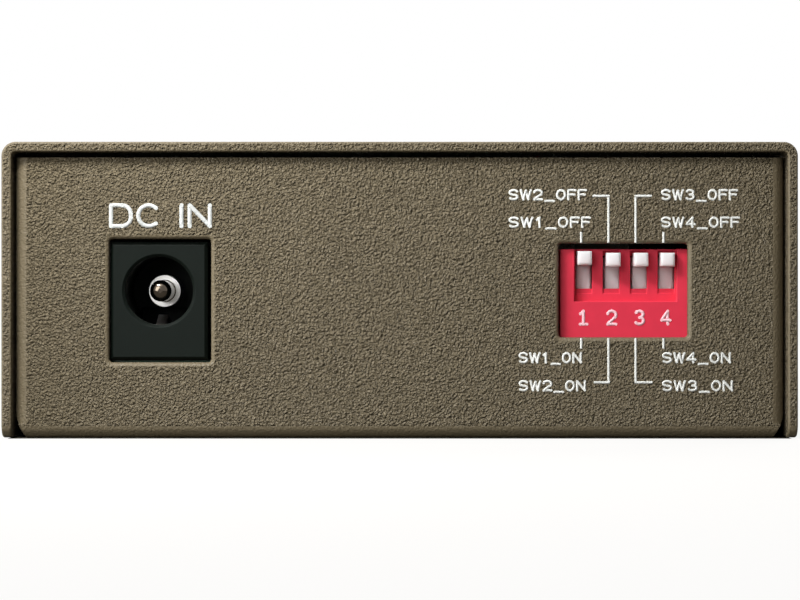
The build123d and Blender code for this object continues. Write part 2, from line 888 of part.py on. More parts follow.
# Power socket leaf, which presses on the sleeve of the plug
leaf_outline = [
    (leaf_front_depth, -leaf_front_drop),
    (leaf_crest_depth, -leaf_crest_drop),
    (leaf_rear_depth, -leaf_rear_drop),
    (leaf_rear_depth, tail_bottom - jack_axis_z),
]
with BuildPart() as power_socket_leaf:
    with BuildSketch(from_back(jack_x, jack_face_y, jack_axis_z)):
        add(strip(leaf_outline, leaf_thickness, leaf_bend, Side.RIGHT))
    extrude(amount=leaf_width / 2, both=True)
power_socket_leaf.part.label = "power_socket_leaf"
export_step(power_socket_leaf.part, "parts/power_socket_leaf.step")

# Power socket shunt, which the leaf rests near while no plug is in
shunt_outline = [
    (shunt_depth - shunt_reach, -shunt_drop),
    (shunt_depth, -shunt_drop),
    (shunt_depth, tail_bottom - jack_axis_z),
]
with BuildPart() as power_socket_shunt:
    with BuildSketch(from_back(jack_x, jack_face_y, jack_axis_z)):
        add(strip(shunt_outline, leaf_thickness, shunt_bend, Side.RIGHT))
    extrude(amount=shunt_width / 2, both=True)
power_socket_shunt.part.label = "power_socket_shunt"
export_step(power_socket_shunt.part, "parts/power_socket_shunt.step")

# Slide switch cover, with a well, four slots and the channels behind them
switch_left = switch_x - switch_width / 2
switch_right = switch_x + switch_width / 2
with BuildPart() as switch_cover:
    with BuildSketch(across(switch_face_y)):
        between(switch_left, switch_right, board_top, switch_top)
    extrude(amount=-switch_cover_length)
    fillet(switch_cover.faces().sort_by(Axis.Y)[0].edges(), switch_edge_round)
    with BuildSketch(across(switch_face_y)):
        between(
            switch_x - well_width / 2,
            switch_x + well_width / 2,
            switch_top - well_height,
            switch_top + overrun,
        )
    extrude(amount=-well_depth, mode=Mode.SUBTRACT)
    with BuildSketch(across(switch_face_y + well_depth + well_floor)):
        for x in way_places_x:
            reach = slider_width / 2 + slider_play
            between(x - reach, x + reach, channel_bottom, channel_top)
    extrude(amount=well_depth + well_floor - switch_cover_length, mode=Mode.SUBTRACT)
    with BuildSketch(across(switch_face_y)):
        for x in way_places_x:
            between(x - slot_width / 2, x + slot_width / 2, slot_bottom, slot_top)
    extrude(amount=-(slider_depth + slider_clearance), mode=Mode.SUBTRACT)
    with BuildSketch(across(switch_face_y + well_depth)):
        for x in way_places_x:
            between(
                x - slot_width / 2,
                x + slot_width / 2,
                slot_bottom - slot_relief_height,
                slot_bottom,
            )
    extrude(amount=-slot_relief_depth, mode=Mode.SUBTRACT)
switch_cover.part.label = "switch_cover"
export_step(switch_cover.part, "parts/switch_cover.step")

# Slide switch base, which closes the channels and carries the fixed contacts
terminal_half_width = terminal_width / 2 + terminal_clearance
upper_terminal_z = sum(upper_pad) / 2
lower_terminal_z = sum(lower_pad) / 2
with BuildPart() as switch_base:
    with BuildSketch(across(switch_face_y + switch_base_depth)):
        between(switch_left, switch_right, board_top, switch_top)
    extrude(amount=-switch_base_length)
    with BuildSketch(across(switch_face_y + switch_base_depth)):
        for x in way_places_x:
            reach = pad_width / 2 + terminal_clearance
            between(
                x - reach,
                x + reach,
                lower_pad[0] - terminal_clearance,
                upper_pad[1] + terminal_clearance,
            )
    extrude(amount=pad_proud - pad_thickness - terminal_clearance, mode=Mode.SUBTRACT)
    with BuildSketch(across(switch_face_y + switch_base_depth)):
        for x in way_places_x:
            between(
                x - terminal_half_width,
                x + terminal_half_width,
                upper_terminal_z - terminal_thickness - terminal_clearance,
                upper_terminal_z + terminal_clearance,
            )
    extrude(amount=-switch_base_length, mode=Mode.SUBTRACT)
    with BuildSketch(across(switch_face_y + switch_base_depth)):
        for x in way_places_x:
            between(
                x - terminal_half_width,
                x + terminal_half_width,
                board_top,
                lower_terminal_z + terminal_clearance,
            )
    groove_depth = terminal_front_depth + terminal_clearance - switch_base_depth
    extrude(amount=-groove_depth, mode=Mode.SUBTRACT)
switch_base.part.label = "switch_base"
export_step(switch_base.part, "parts/switch_base.step")

# Slide switch terminals: two to each way, each with its pad
upper_terminal = [
    (pad_depth + pad_thickness, upper_terminal_z),
    (terminal_back_depth, upper_terminal_z),
    (terminal_back_depth, tail_bottom),
]
lower_terminal = [
    (pad_depth + pad_thickness, lower_terminal_z),
    (terminal_front_depth, lower_terminal_z),
    (terminal_front_depth, tail_bottom),
]
with BuildPart() as switch_terminals:
    with BuildSketch(from_back(switch_x, switch_face_y, 0)):
        add(strip(upper_terminal, terminal_thickness, terminal_bend, Side.RIGHT))
        add(strip(lower_terminal, terminal_thickness, terminal_bend, Side.RIGHT))
    extrude(amount=switch_width / 2, both=True)
    with BuildSketch(level(tail_bottom)):
        bars(way_places_x, terminal_width)
    extrude(amount=case_height, mode=Mode.INTERSECT)
    with BuildSketch(across(switch_face_y + pad_depth)):
        for x in way_places_x:
            between(x - pad_width / 2, x + pad_width / 2, upper_pad[0], upper_pad[1])
            between(x - pad_width / 2, x + pad_width / 2, lower_pad[0], lower_pad[1])
    extrude(amount=-pad_thickness)
switch_terminals.part.label = "switch_terminals"
export_step(switch_terminals.part, "parts/switch_terminals.step")

# Slide switch sliders, and the sprung bridge that each one carries at its back
bridge_outline = [
    (bridge_tip_reach, bridge_tip),
    (bridge_reach, bridge_crest),
    (0, bridge_foot),
    (0, -bridge_foot),
    (bridge_reach, -bridge_crest),
    (bridge_tip_reach, -bridge_tip),
]
for way, (x, rest) in enumerate(zip(slider_places_x, slider_rests), start=1):
    with BuildPart() as switch_slider:
        with BuildSketch(across(switch_face_y - knob_proud)):
            between(
                x - knob_width / 2,
                x + knob_width / 2,
                knob_bottom - rest,
                knob_top - rest,
            )
        extrude(amount=-(knob_proud + slider_depth))
        fillet(switch_slider.faces().sort_by(Axis.Y)[0].edges(), knob_round)
        for start, width in ((slider_depth, knob_width), (slider_depth + slider_step, slider_width)):
            with BuildSketch(across(switch_face_y + start)):
                between(x - width / 2, x + width / 2, slider_bottom - rest, slider_top - rest)
            extrude(amount=start - bridge_depth)
    switch_slider.part.label = f"switch_slider_{way}"
    export_step(switch_slider.part, f"parts/switch_slider_{way}.step")

    with BuildPart() as switch_contact:
        back_of_slider = switch_face_y + bridge_depth
        with BuildSketch(from_back(x, back_of_slider, slider_middle_z - rest)):
            add(strip(bridge_outline, bridge_thickness, bridge_bend))
        extrude(amount=bridge_width / 2, both=True)
    switch_contact.part.label = f"switch_contact_{way}"
    export_step(switch_contact.part, f"parts/switch_contact_{way}.step")

# Network socket housing
port_top = board_top + port_height
cavity_low = board_top + cavity_bottom
cavity_high = cavity_low + cavity_height
housing_inset = shield_thickness + shield_fit
comb_half_width = ((wire_count - 1) * wire_pitch + comb_slot_width) / 2


def port_opening(clearance):
    """Draws the stepped opening of the network socket in the sketch being drawn."""
    between(
        port_x - cavity_width / 2 - clearance,
        port_x + cavity_width / 2 + clearance,
        cavity_low - clearance,
        cavity_high + clearance,
    )
    between(
        port_x - latch_width / 2 - clearance,
        port_x + latch_width / 2 + clearance,
        cavity_low - latch_height - clearance,
        cavity_low,
    )
    between(
        port_x - latch_step_width / 2 - clearance,
        port_x + latch_step_width / 2 + clearance,
        cavity_low - latch_height - latch_step_height - clearance,
        cavity_low,
    )


with BuildPart() as network_socket_housing:
    with BuildSketch(across(port_front_y - housing_inset)):
        between(
            port_left + housing_inset,
            port_right - housing_inset,
            board_top,
            port_top - housing_inset,
        )
    extrude(amount=port_rear_length)
    with BuildSketch(across(port_front_y)):
        port_opening(0)
    extrude(amount=cavity_depth, mode=Mode.SUBTRACT)
    with BuildSketch(across(port_front_y - comb_start)):
        for x in wire_places_x:
            between(
                x - comb_slot_width / 2,
                x + comb_slot_width / 2,
                cavity_high - wire_thickness,
                cavity_high + comb_height,
            )
    extrude(amount=comb_length, mode=Mode.SUBTRACT)
    with BuildSketch(across(port_front_y - comb_start - comb_length)):
        between(
            port_x - comb_half_width,
            port_x + comb_half_width,
            cavity_high - wire_thickness,
            cavity_high + comb_height,
        )
    extrude(amount=port_length, mode=Mode.SUBTRACT)
network_socket_housing.part.label = "network_socket_housing"
export_step(network_socket_housing.part, "parts/network_socket_housing.step")

# Network socket shield, folded from thin sheet, with two tails and two tongues
with BuildPart() as network_socket_shield:
    with BuildSketch(across(port_front_y)):
        between(port_left, port_right, board_top, port_top)
    extrude(amount=port_length)
    with BuildSketch(across(port_front_y - shield_thickness)):
        between(
            port_left + shield_thickness,
            port_right - shield_thickness,
            board_top,
            port_top - shield_thickness,
        )
    extrude(amount=port_length - 2 * shield_thickness, mode=Mode.SUBTRACT)
    with BuildSketch(across(port_front_y)):
        port_opening(shield_fit)
    extrude(amount=shield_thickness, mode=Mode.SUBTRACT)
    with BuildSketch(level(board_top)):
        for edge_x, side in ((port_left, 1), (port_right, -1)):
            with Locations((edge_x + side * shield_thickness / 2, shield_tail_y)):
                Rectangle(shield_thickness, shield_tail_width)
    extrude(amount=-tail_length)
    with BuildSketch(level(port_top)):
        tongue_y = port_front_y - 2 * shield_tongue_gap - shield_tongue_length / 2
        with Locations((port_x, tongue_y)):
            with GridLocations(port_width / 2, 0, 2, 1):
                Rectangle(
                    shield_tongue_width + 2 * shield_tongue_gap,
                    shield_tongue_length + 2 * shield_tongue_gap,
                )
        with Locations((port_x, tongue_y - shield_tongue_gap)):
            with GridLocations(port_width / 2, 0, 2, 1):
                Rectangle(shield_tongue_width, shield_tongue_length, mode=Mode.SUBTRACT)
    extrude(amount=-shield_thickness, mode=Mode.SUBTRACT)
network_socket_shield.part.label = "network_socket_shield"
export_step(network_socket_shield.part, "parts/network_socket_shield.step")

# Network socket contacts: eight wires that bend over the comb into the cavity
wire_outline = [
    (wire_rear_depth, -tail_length),
    (wire_rear_depth, wire_top_height),
    (wire_front_depth, wire_top_height),
    (wire_front_depth, wire_top_height - wire_front_drop),
    (wire_tip_depth, wire_tip_height),
]
with BuildPart() as network_socket_contacts:
    with BuildSketch(from_front(port_x, port_front_y, board_top)):
        add(strip(wire_outline, wire_thickness, wire_bend, Side.RIGHT))
    extrude(amount=port_width / 2, both=True)
    with BuildSketch(level(tail_bottom)):
        bars(wire_places_x, wire_width)
    extrude(amount=case_height, mode=Mode.INTERSECT)
network_socket_contacts.part.label = "network_socket_contacts"
export_step(network_socket_contacts.part, "parts/network_socket_contacts.step")

# Fibre transceiver housing: a nose with two ports on an open tray
fibre_left = fibre_x - fibre_width / 2
fibre_right = fibre_x + fibre_width / 2
fibre_rim_z = board_top + fibre_height - fibre_lid_thickness
fibre_outline = [
    (0, 0),
    (fibre_length, 0),
    (fibre_length, fibre_height - fibre_lid_thickness),
    (fibre_nose_length, fibre_height - fibre_lid_thickness),
    (fibre_nose_length, fibre_height),
    (0, fibre_height),
]
with BuildPart() as fibre_housing:
    with BuildSketch(from_front(fibre_x, fibre_front_y, board_top)):
        with BuildLine():
            Polyline(*fibre_outline, close=True)
        make_face()
    extrude(amount=fibre_width / 2, both=True)
    fillet(fibre_housing.edges().filter_by(Axis.Y).group_by(Axis.Z)[-1], fibre_corner)
    fillet(fibre_housing.edges().filter_by(Axis.Z).group_by(Axis.Y)[0], fibre_corner)
    with BuildSketch(level(fibre_rim_z)):
        between(
            fibre_left + fibre_wall,
            fibre_right - fibre_wall,
            fibre_rear_y + fibre_wall,
            fibre_nose_y,
        )
    extrude(amount=fibre_floor + fibre_lid_thickness - fibre_height, mode=Mode.SUBTRACT)
    with BuildSketch(across(fibre_front_y)):
        for x in fibre_ports_x:
            with Locations((x, fibre_axis_z)):
                RectangleRounded(fibre_port_width, fibre_port_height, fibre_port_corner)
            between(
                x - key_width / 2,
                x + key_width / 2,
                fibre_axis_z,
                fibre_axis_z + fibre_port_height / 2 + key_height,
            )
    extrude(amount=fibre_port_depth, mode=Mode.SUBTRACT)
    with BuildSketch(across(fibre_front_y)):
        with Locations(*[(x, fibre_axis_z) for x in fibre_ports_x]):
            Circle(ferrule_sleeve_radius + fibre_fit)
    extrude(amount=fibre_nose_length, mode=Mode.SUBTRACT)
    with BuildSketch(level(board_top)):
        with Locations((fibre_x, fibre_pin_y)):
            Rectangle(fibre_pin_count * fibre_pin_pitch, fibre_pin_slot)
    extrude(amount=fibre_floor, mode=Mode.SUBTRACT)
    with BuildSketch(level(board_top)):
        with Locations(*fibre_studs):
            Circle(fibre_stud_radius)
    extrude(amount=-tail_length)
fibre_housing.part.label = "fibre_housing"
export_step(fibre_housing.part, "parts/fibre_housing.step")

# Fibre transceiver lid, with a lip that drops inside the tray
with BuildPart() as fibre_lid:
    with BuildSketch(level(fibre_rim_z)):
        between(fibre_left, fibre_right, fibre_rear_y, fibre_nose_y - fibre_fit)
    extrude(amount=fibre_lid_thickness)
    fillet(fibre_lid.edges().filter_by(Axis.Y).group_by(Axis.Z)[-1], fibre_corner)
    fillet(fibre_lid.edges().filter_by(Axis.Z).group_by(Axis.Y)[0], fibre_corner)
    with BuildSketch(level(fibre_rim_z)):
        lip_inset = fibre_wall + fibre_fit
        between(
            fibre_left + lip_inset,
            fibre_right - lip_inset,
            fibre_rear_y + lip_inset,
            fibre_nose_y - fibre_fit,
        )
    extrude(amount=-fibre_lid_lip)
fibre_lid.part.label = "fibre_lid"
export_step(fibre_lid.part, "parts/fibre_lid.step")

# Latches: in each port two hooks stand on a yoke around the ferrule sleeve
with BuildPart() as fibre_latches:
    yoke_y = fibre_front_y - fibre_port_depth + hook_yoke_thickness
    with BuildSketch(across(yoke_y)):
        with Locations(*[(x, fibre_axis_z) for x in fibre_ports_x]):
            RectangleRounded(
                fibre_port_width - 2 * hook_yoke_fit,
                fibre_port_height - 2 * hook_yoke_fit,
                fibre_port_corner,
            )
            Circle(ferrule_sleeve_radius + hook_yoke_fit, mode=Mode.SUBTRACT)
    extrude(amount=hook_yoke_thickness)
    arms = [(x + side * hook_centre, fibre_axis_z) for x in fibre_ports_x for side in (-1, 1)]
    with BuildSketch(across(fibre_front_y - hook_start)):
        with Locations(*arms):
            Rectangle(hook_thickness, hook_height)
    extrude(amount=fibre_port_depth - hook_start)
    noses = [
        (x + side * (hook_centre - hook_nose / 2), fibre_axis_z)
        for x in fibre_ports_x
        for side in (-1, 1)
    ]
    with BuildSketch(across(fibre_front_y - hook_start)):
        with Locations(*noses):
            Rectangle(hook_thickness + hook_nose, hook_height)
    extrude(amount=hook_nose_length)
fibre_latches.part.label = "fibre_latches"
export_step(fibre_latches.part, "parts/fibre_latches.step")

# Ferrule sleeves and the sealed cans behind them, one of each for each port
seat_end = fibre_nose_length + ferrule_seat_length
bore_end = ferrule_sleeve_start + ferrule_bore_depth
sleeve_outline = [
    (ferrule_sleeve_start, ferrule_bore_radius),
    (ferrule_sleeve_start, ferrule_sleeve_radius),
    (fibre_nose_length, ferrule_sleeve_radius),
    (fibre_nose_length, ferrule_seat_radius),
    (seat_end, ferrule_seat_radius),
    (seat_end, 0),
    (bore_end, 0),
    (bore_end, ferrule_bore_radius),
]
can_outline = [
    (seat_end, 0),
    (seat_end, can_flange_radius),
    (seat_end + can_flange_length, can_flange_radius),
    (seat_end + can_flange_length, can_radius),
    (seat_end + can_length, can_radius),
    (seat_end + can_length, 0),
]
fibre_board_rear_y = fibre_rear_y + fibre_wall + fibre_board_clearance
fibre_board_front_y = fibre_board_rear_y + fibre_board_length
fibre_board_top = fibre_board_bottom + fibre_board_thickness
can_rear_y = fibre_front_y - seat_end - can_length
can_lead_z = fibre_board_top + can_lead_gap + can_lead_radius
for name, x in zip(("transmit", "receive"), fibre_ports_x):
    ferrule_axis = Axis((x, fibre_front_y, fibre_axis_z), (0, 1, 0))
    with BuildPart() as ferrule_sleeve:
        with BuildSketch(from_front(x, fibre_front_y, fibre_axis_z)):
            with BuildLine():
                Polyline(*sleeve_outline, close=True)
            make_face()
        revolve(axis=ferrule_axis)
    ferrule_sleeve.part.label = f"{name}_sleeve"
    export_step(ferrule_sleeve.part, f"parts/{name}_sleeve.step")

    with BuildPart() as optical_can:
        with BuildSketch(from_front(x, fibre_front_y, fibre_axis_z)):
            with BuildLine():
                Polyline(*can_outline, close=True)
            make_face()
        revolve(axis=ferrule_axis)
        with BuildSketch(across(can_rear_y)):
            with Locations((x, can_lead_z)):
                with GridLocations(2 * can_lead_spread, 0, 2, 1):
                    Circle(can_lead_radius)
        extrude(amount=can_rear_y - fibre_board_front_y + can_lead_overlap)
    optical_can.part.label = f"{name}_can"
    export_step(optical_can.part, f"parts/{name}_can.step")

# Small board inside the transceiver, and the pins that carry it
with BuildPart() as fibre_board:
    with BuildSketch(level(fibre_board_bottom)):
        board_inset = fibre_wall + fibre_board_clearance
        between(
            fibre_left + board_inset,
            fibre_right - board_inset,
            fibre_board_rear_y,
            fibre_board_front_y,
        )
    extrude(amount=fibre_board_thickness)
fibre_board.part.label = "fibre_board"
export_step(fibre_board.part, "parts/fibre_board.step")

with BuildPart() as fibre_pins:
    with BuildSketch(level(tail_bottom)):
        with Locations(*[(x, fibre_pin_y) for x in fibre_pins_x]):
            Circle(fibre_pin_radius)
    extrude(amount=fibre_board_bottom - tail_bottom)
fibre_pins.part.label = "fibre_pins"
export_step(fibre_pins.part, "parts/fibre_pins.step")

# Lamp holder, lamps and their leads
lamp_seats = [(x, z) for x in lamp_places_x for z in lamp_rows_z]
with BuildPart() as lamp_holder:
    with BuildSketch(across(holder_front_y)):
        between(
            lamp_x - holder_width / 2,
            lamp_x + holder_width / 2,
            board_top,
            board_top + holder_height,
        )
    extrude(amount=holder_length)
    top_edges = lamp_holder.edges().filter_by(Axis.X).group_by(Axis.Z)[-1]
    chamfer(top_edges, holder_chamfer)
    with BuildSketch(across(holder_front_y)):
        with Locations(*lamp_seats):
            Circle(lamp_radius + lamp_fit)
    extrude(amount=holder_length, mode=Mode.SUBTRACT)
    with BuildSketch(across(lamp_rear_y + lamp_rim_length + lamp_fit)):
        with Locations(*lamp_seats):
            Circle(lamp_rim_radius + lamp_fit)
    extrude(amount=holder_length, mode=Mode.SUBTRACT)
lamp_holder.part.label = "lamp_holder"
export_step(lamp_holder.part, "parts/lamp_holder.step")

for number, (x, z) in enumerate(lamp_seats, start=1):
    with BuildPart() as lamp:
        with BuildSketch(from_front(x, lamp_tip_y, z)):
            with BuildLine():
                CenterArc((lamp_radius, 0), lamp_radius, 2 * right_angle, -right_angle)
                Polyline(
                    (lamp_radius, lamp_radius),
                    (lamp_length - lamp_rim_length, lamp_radius),
                    (lamp_length - lamp_rim_length, lamp_rim_radius),
                    (lamp_length, lamp_rim_radius),
                    (lamp_length, 0),
                    (0, 0),
                )
            make_face()
        revolve(axis=Axis((x, lamp_tip_y, z), (0, 1, 0)))
    lamp.part.label = f"lamp_{number}"
    export_step(lamp.part, f"parts/lamp_{number}.step")

with BuildPart() as lamp_leads:
    with BuildSketch(from_front(lamp_x, lamp_rear_y, 0)):
        for z, reach in zip(lamp_rows_z, lamp_lead_reaches):
            lead_outline = [
                (0, z - lamp_lead_width / 2),
                (reach, z - lamp_lead_width / 2),
                (reach, tail_bottom),
            ]
            add(strip(lead_outline, lamp_lead_width, lamp_lead_bend))
    extrude(amount=holder_width / 2, both=True)
    with BuildSketch(level(tail_bottom)):
        bars(lamp_leads_x, lamp_lead_width)
    extrude(amount=case_height, mode=Mode.INTERSECT)
lamp_leads.part.label = "lamp_leads"
export_step(lamp_leads.part, "parts/lamp_leads.step")

# Converter chip and its leads on four sides
chip_place = on_board(chip_shares)
with BuildPart() as converter_chip:
    with BuildSketch(level(board_top + chip_lift)):
        with Locations(chip_place):
            Rectangle(chip_size, chip_size)
    extrude(amount=chip_height)
    chamfer(converter_chip.faces().sort_by(Axis.Z)[-1].edges(), chip_chamfer)
    mark_inset = chip_size / 2 - chip_mark_margin - chip_mark_radius
    with BuildSketch(level(board_top + chip_lift + chip_height)):
        with Locations((chip_place[0] - mark_inset, chip_place[1] - mark_inset)):
            Circle(chip_mark_radius)
    extrude(amount=-chip_mark_depth, mode=Mode.SUBTRACT)
converter_chip.part.label = "converter_chip"
export_step(converter_chip.part, "parts/converter_chip.step")

chip_lead_rows = gull_leads(
    chip_size,
    chip_lead_count,
    chip_lead_pitch,
    chip_lead_width,
    chip_lead_reach,
    chip_lead_rise,
)
with BuildPart() as converter_chip_leads:
    for turn in (0, right_angle):
        with Locations(Location((chip_place[0], chip_place[1], 0), (0, 0, turn))):
            add(chip_lead_rows)
converter_chip_leads.part.label = "converter_chip_leads"
export_step(converter_chip_leads.part, "parts/converter_chip_leads.step")

# Line transformer and its leads
with BuildPart() as line_transformer:
    with BuildSketch(level(board_top + chip_lift)):
        with Locations(magnetics_place):
            Rectangle(magnetics_width, magnetics_length)
    extrude(amount=magnetics_height)
    chamfer(line_transformer.faces().sort_by(Axis.Z)[-1].edges(), chip_chamfer)
line_transformer.part.label = "line_transformer"
export_step(line_transformer.part, "parts/line_transformer.step")

transformer_lead_rows = gull_leads(
    magnetics_width,
    magnetics_lead_count,
    magnetics_lead_pitch,
    magnetics_lead_width,
    chip_lead_reach,
    chip_lead_rise,
)
with BuildPart() as line_transformer_leads:
    with Locations((magnetics_place[0], magnetics_place[1], 0)):
        add(transformer_lead_rows)
line_transformer_leads.part.label = "line_transformer_leads"
export_step(line_transformer_leads.part, "parts/line_transformer_leads.step")

# Memory chip and its leads
memory_place = on_board(memory_shares)
with BuildPart() as memory_chip:
    with BuildSketch(level(board_top + chip_lift)):
        with Locations(memory_place):
            Rectangle(memory_width, memory_length)
    extrude(amount=memory_height)
    chamfer(memory_chip.faces().sort_by(Axis.Z)[-1].edges(), chip_chamfer)
memory_chip.part.label = "memory_chip"
export_step(memory_chip.part, "parts/memory_chip.step")

memory_lead_rows = gull_leads(
    memory_width,
    memory_lead_count,
    magnetics_lead_pitch,
    chip_lead_width,
    chip_lead_reach,
    chip_lead_rise,
)
with BuildPart() as memory_chip_leads:
    with Locations((memory_place[0], memory_place[1], 0)):
        add(memory_lead_rows)
memory_chip_leads.part.label = "memory_chip_leads"
export_step(memory_chip_leads.part, "parts/memory_chip_leads.step")

# Crystal in its oval can
crystal_place = on_board(crystal_shares)
with BuildPart() as crystal_can:
    with BuildSketch(level(board_top)):
        with Locations(crystal_place):
            SlotOverall(crystal_length, crystal_width)
    extrude(amount=crystal_height)
    fillet(crystal_can.faces().sort_by(Axis.Z)[-1].edges(), crystal_round)
    with BuildSketch(level(board_top)):
        with Locations(crystal_place):
            SlotOverall(crystal_length + 2 * crystal_rim, crystal_width + 2 * crystal_rim)
    extrude(amount=crystal_rim_height)
crystal_can.part.label = "crystal_can"
export_step(crystal_can.part, "parts/crystal_can.step")

# Shielded power coil
coil_place = on_board(coil_shares)
with BuildPart() as power_coil:
    with BuildSketch(level(board_top)):
        with Locations(coil_place):
            RectangleRounded(coil_size, coil_size, coil_corner)
    extrude(amount=coil_height)
    with BuildSketch(level(board_top + coil_height)):
        with Locations(coil_place):
            Circle(coil_ring_outer)
            Circle(coil_ring_inner, mode=Mode.SUBTRACT)
    extrude(amount=-coil_ring_depth, mode=Mode.SUBTRACT)
power_coil.part.label = "power_coil"
export_step(power_coil.part, "parts/power_coil.step")

# Capacitor cans, each with a scored top
capacitors = zip(capacitor_shares, capacitor_radii, capacitor_heights)
for number, (shares, radius, height) in enumerate(capacitors, start=1):
    place = on_board(shares)
    with BuildPart() as capacitor:
        with BuildSketch(level(board_top)):
            with Locations(place):
                Circle(radius)
        extrude(amount=height)
        fillet(capacitor.edges().group_by(Axis.Z)[-1], capacitor_round)
        with BuildSketch(level(board_top + height)):
            with Locations(place):
                score = 2 * radius * capacitor_score_share
                Rectangle(score, capacitor_score_width)
                Rectangle(capacitor_score_width, score)
        extrude(amount=-capacitor_score_depth, mode=Mode.SUBTRACT)
    capacitor.part.label = f"capacitor_{number}"
    export_step(capacitor.part, f"parts/capacitor_{number}.step")

# Voltage regulator with three leads and a tab
regulator_place = on_board(regulator_shares)
regulator_x, regulator_y = regulator_place
regulator_lead_reach_y = regulator_length / 2 + regulator_lead_reach
regulator_lead = [
    (-regulator_length / 2, chip_lead_rise),
    (-(regulator_length + regulator_lead_reach) / 2, chip_lead_rise),
    (-(regulator_length + regulator_lead_reach) / 2, 0),
    (-regulator_lead_reach_y, 0),
]
with BuildPart() as regulator_body:
    with BuildSketch(level(board_top + chip_lift)):
        with Locations(regulator_place):
            Rectangle(regulator_width, regulator_length)
    extrude(amount=regulator_height)
    chamfer(regulator_body.faces().sort_by(Axis.Z)[-1].edges(), chip_chamfer)
regulator_body.part.label = "regulator_body"
export_step(regulator_body.part, "parts/regulator_body.step")

with BuildPart() as regulator_leads:
    with BuildSketch(from_back(regulator_x, regulator_y, board_top)):
        add(strip(regulator_lead, lead_thickness, lead_thickness, Side.RIGHT))
    extrude(amount=regulator_lead_width / 2, both=True)
    first_lead = regulator_leads.part
    with Locations((regulator_lead_pitch, 0, 0), (-regulator_lead_pitch, 0, 0)):
        add(first_lead)
    with BuildSketch(from_back(regulator_x, regulator_y, board_top)):
        tab_outline = [(-depth, height) for depth, height in regulator_lead]
        add(strip(tab_outline, lead_thickness, lead_thickness))
    extrude(amount=regulator_tab_width / 2, both=True)
regulator_leads.part.label = "regulator_leads"
export_step(regulator_leads.part, "parts/regulator_leads.step")

# Small resistors and capacitors in two banks
with BuildPart() as chip_components:
    with BuildSketch(level(board_top)):
        for shares, columns in zip(passive_shares, passive_columns):
            with Locations(on_board(shares)):
                with GridLocations(passive_pitch_x, passive_pitch_y, columns, passive_rows):
                    Rectangle(passive_length, passive_width)
    extrude(amount=passive_height)
chip_components.part.label = "chip_components"
export_step(chip_components.part, "parts/chip_components.step")
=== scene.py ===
"""Dresses the packed fibre media converter: its finishes, printing, threads and solder.

The frame's axes hold throughout: x to the right as the back is looked at, y from the
back to the front, z up. Lengths are written in millimetres times MM. The place that a
finish's textures are given is in plain millimetres, and so are its spacings.
"""

import json
import logging
import math
from collections.abc import Callable, Iterable, Sequence
from dataclasses import dataclass, field
from enum import Enum

import bmesh
import bpy
from mathutils import Matrix, Vector


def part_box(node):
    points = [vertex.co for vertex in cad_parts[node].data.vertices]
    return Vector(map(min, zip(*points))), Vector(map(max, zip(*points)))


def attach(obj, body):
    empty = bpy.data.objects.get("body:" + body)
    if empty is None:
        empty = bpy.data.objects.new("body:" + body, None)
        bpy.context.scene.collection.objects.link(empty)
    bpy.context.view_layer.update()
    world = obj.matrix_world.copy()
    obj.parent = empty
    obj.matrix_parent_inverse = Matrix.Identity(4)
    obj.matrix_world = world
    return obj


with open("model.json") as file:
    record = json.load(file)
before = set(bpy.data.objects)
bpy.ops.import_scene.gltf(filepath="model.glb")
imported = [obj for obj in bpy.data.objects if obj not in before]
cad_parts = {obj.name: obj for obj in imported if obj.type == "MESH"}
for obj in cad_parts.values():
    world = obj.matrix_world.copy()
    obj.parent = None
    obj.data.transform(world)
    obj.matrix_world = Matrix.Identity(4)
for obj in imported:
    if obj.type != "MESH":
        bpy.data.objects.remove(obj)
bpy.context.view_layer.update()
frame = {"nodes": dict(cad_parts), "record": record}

Socket = bpy.types.NodeSocket
Outputs = bpy.types.bpy_prop_collection
Inputs = dict[str | int, object]
Colour = tuple[float, float, float]
Box = tuple[Vector, Vector]
Point = tuple[float, float]
Stroke = list[Point]

MM = 0.001
CASE_BODY = "case"
WHITE = (1.0, 1.0, 1.0)
PEBBLE = 0.205

log = logging.getLogger("media_converter")


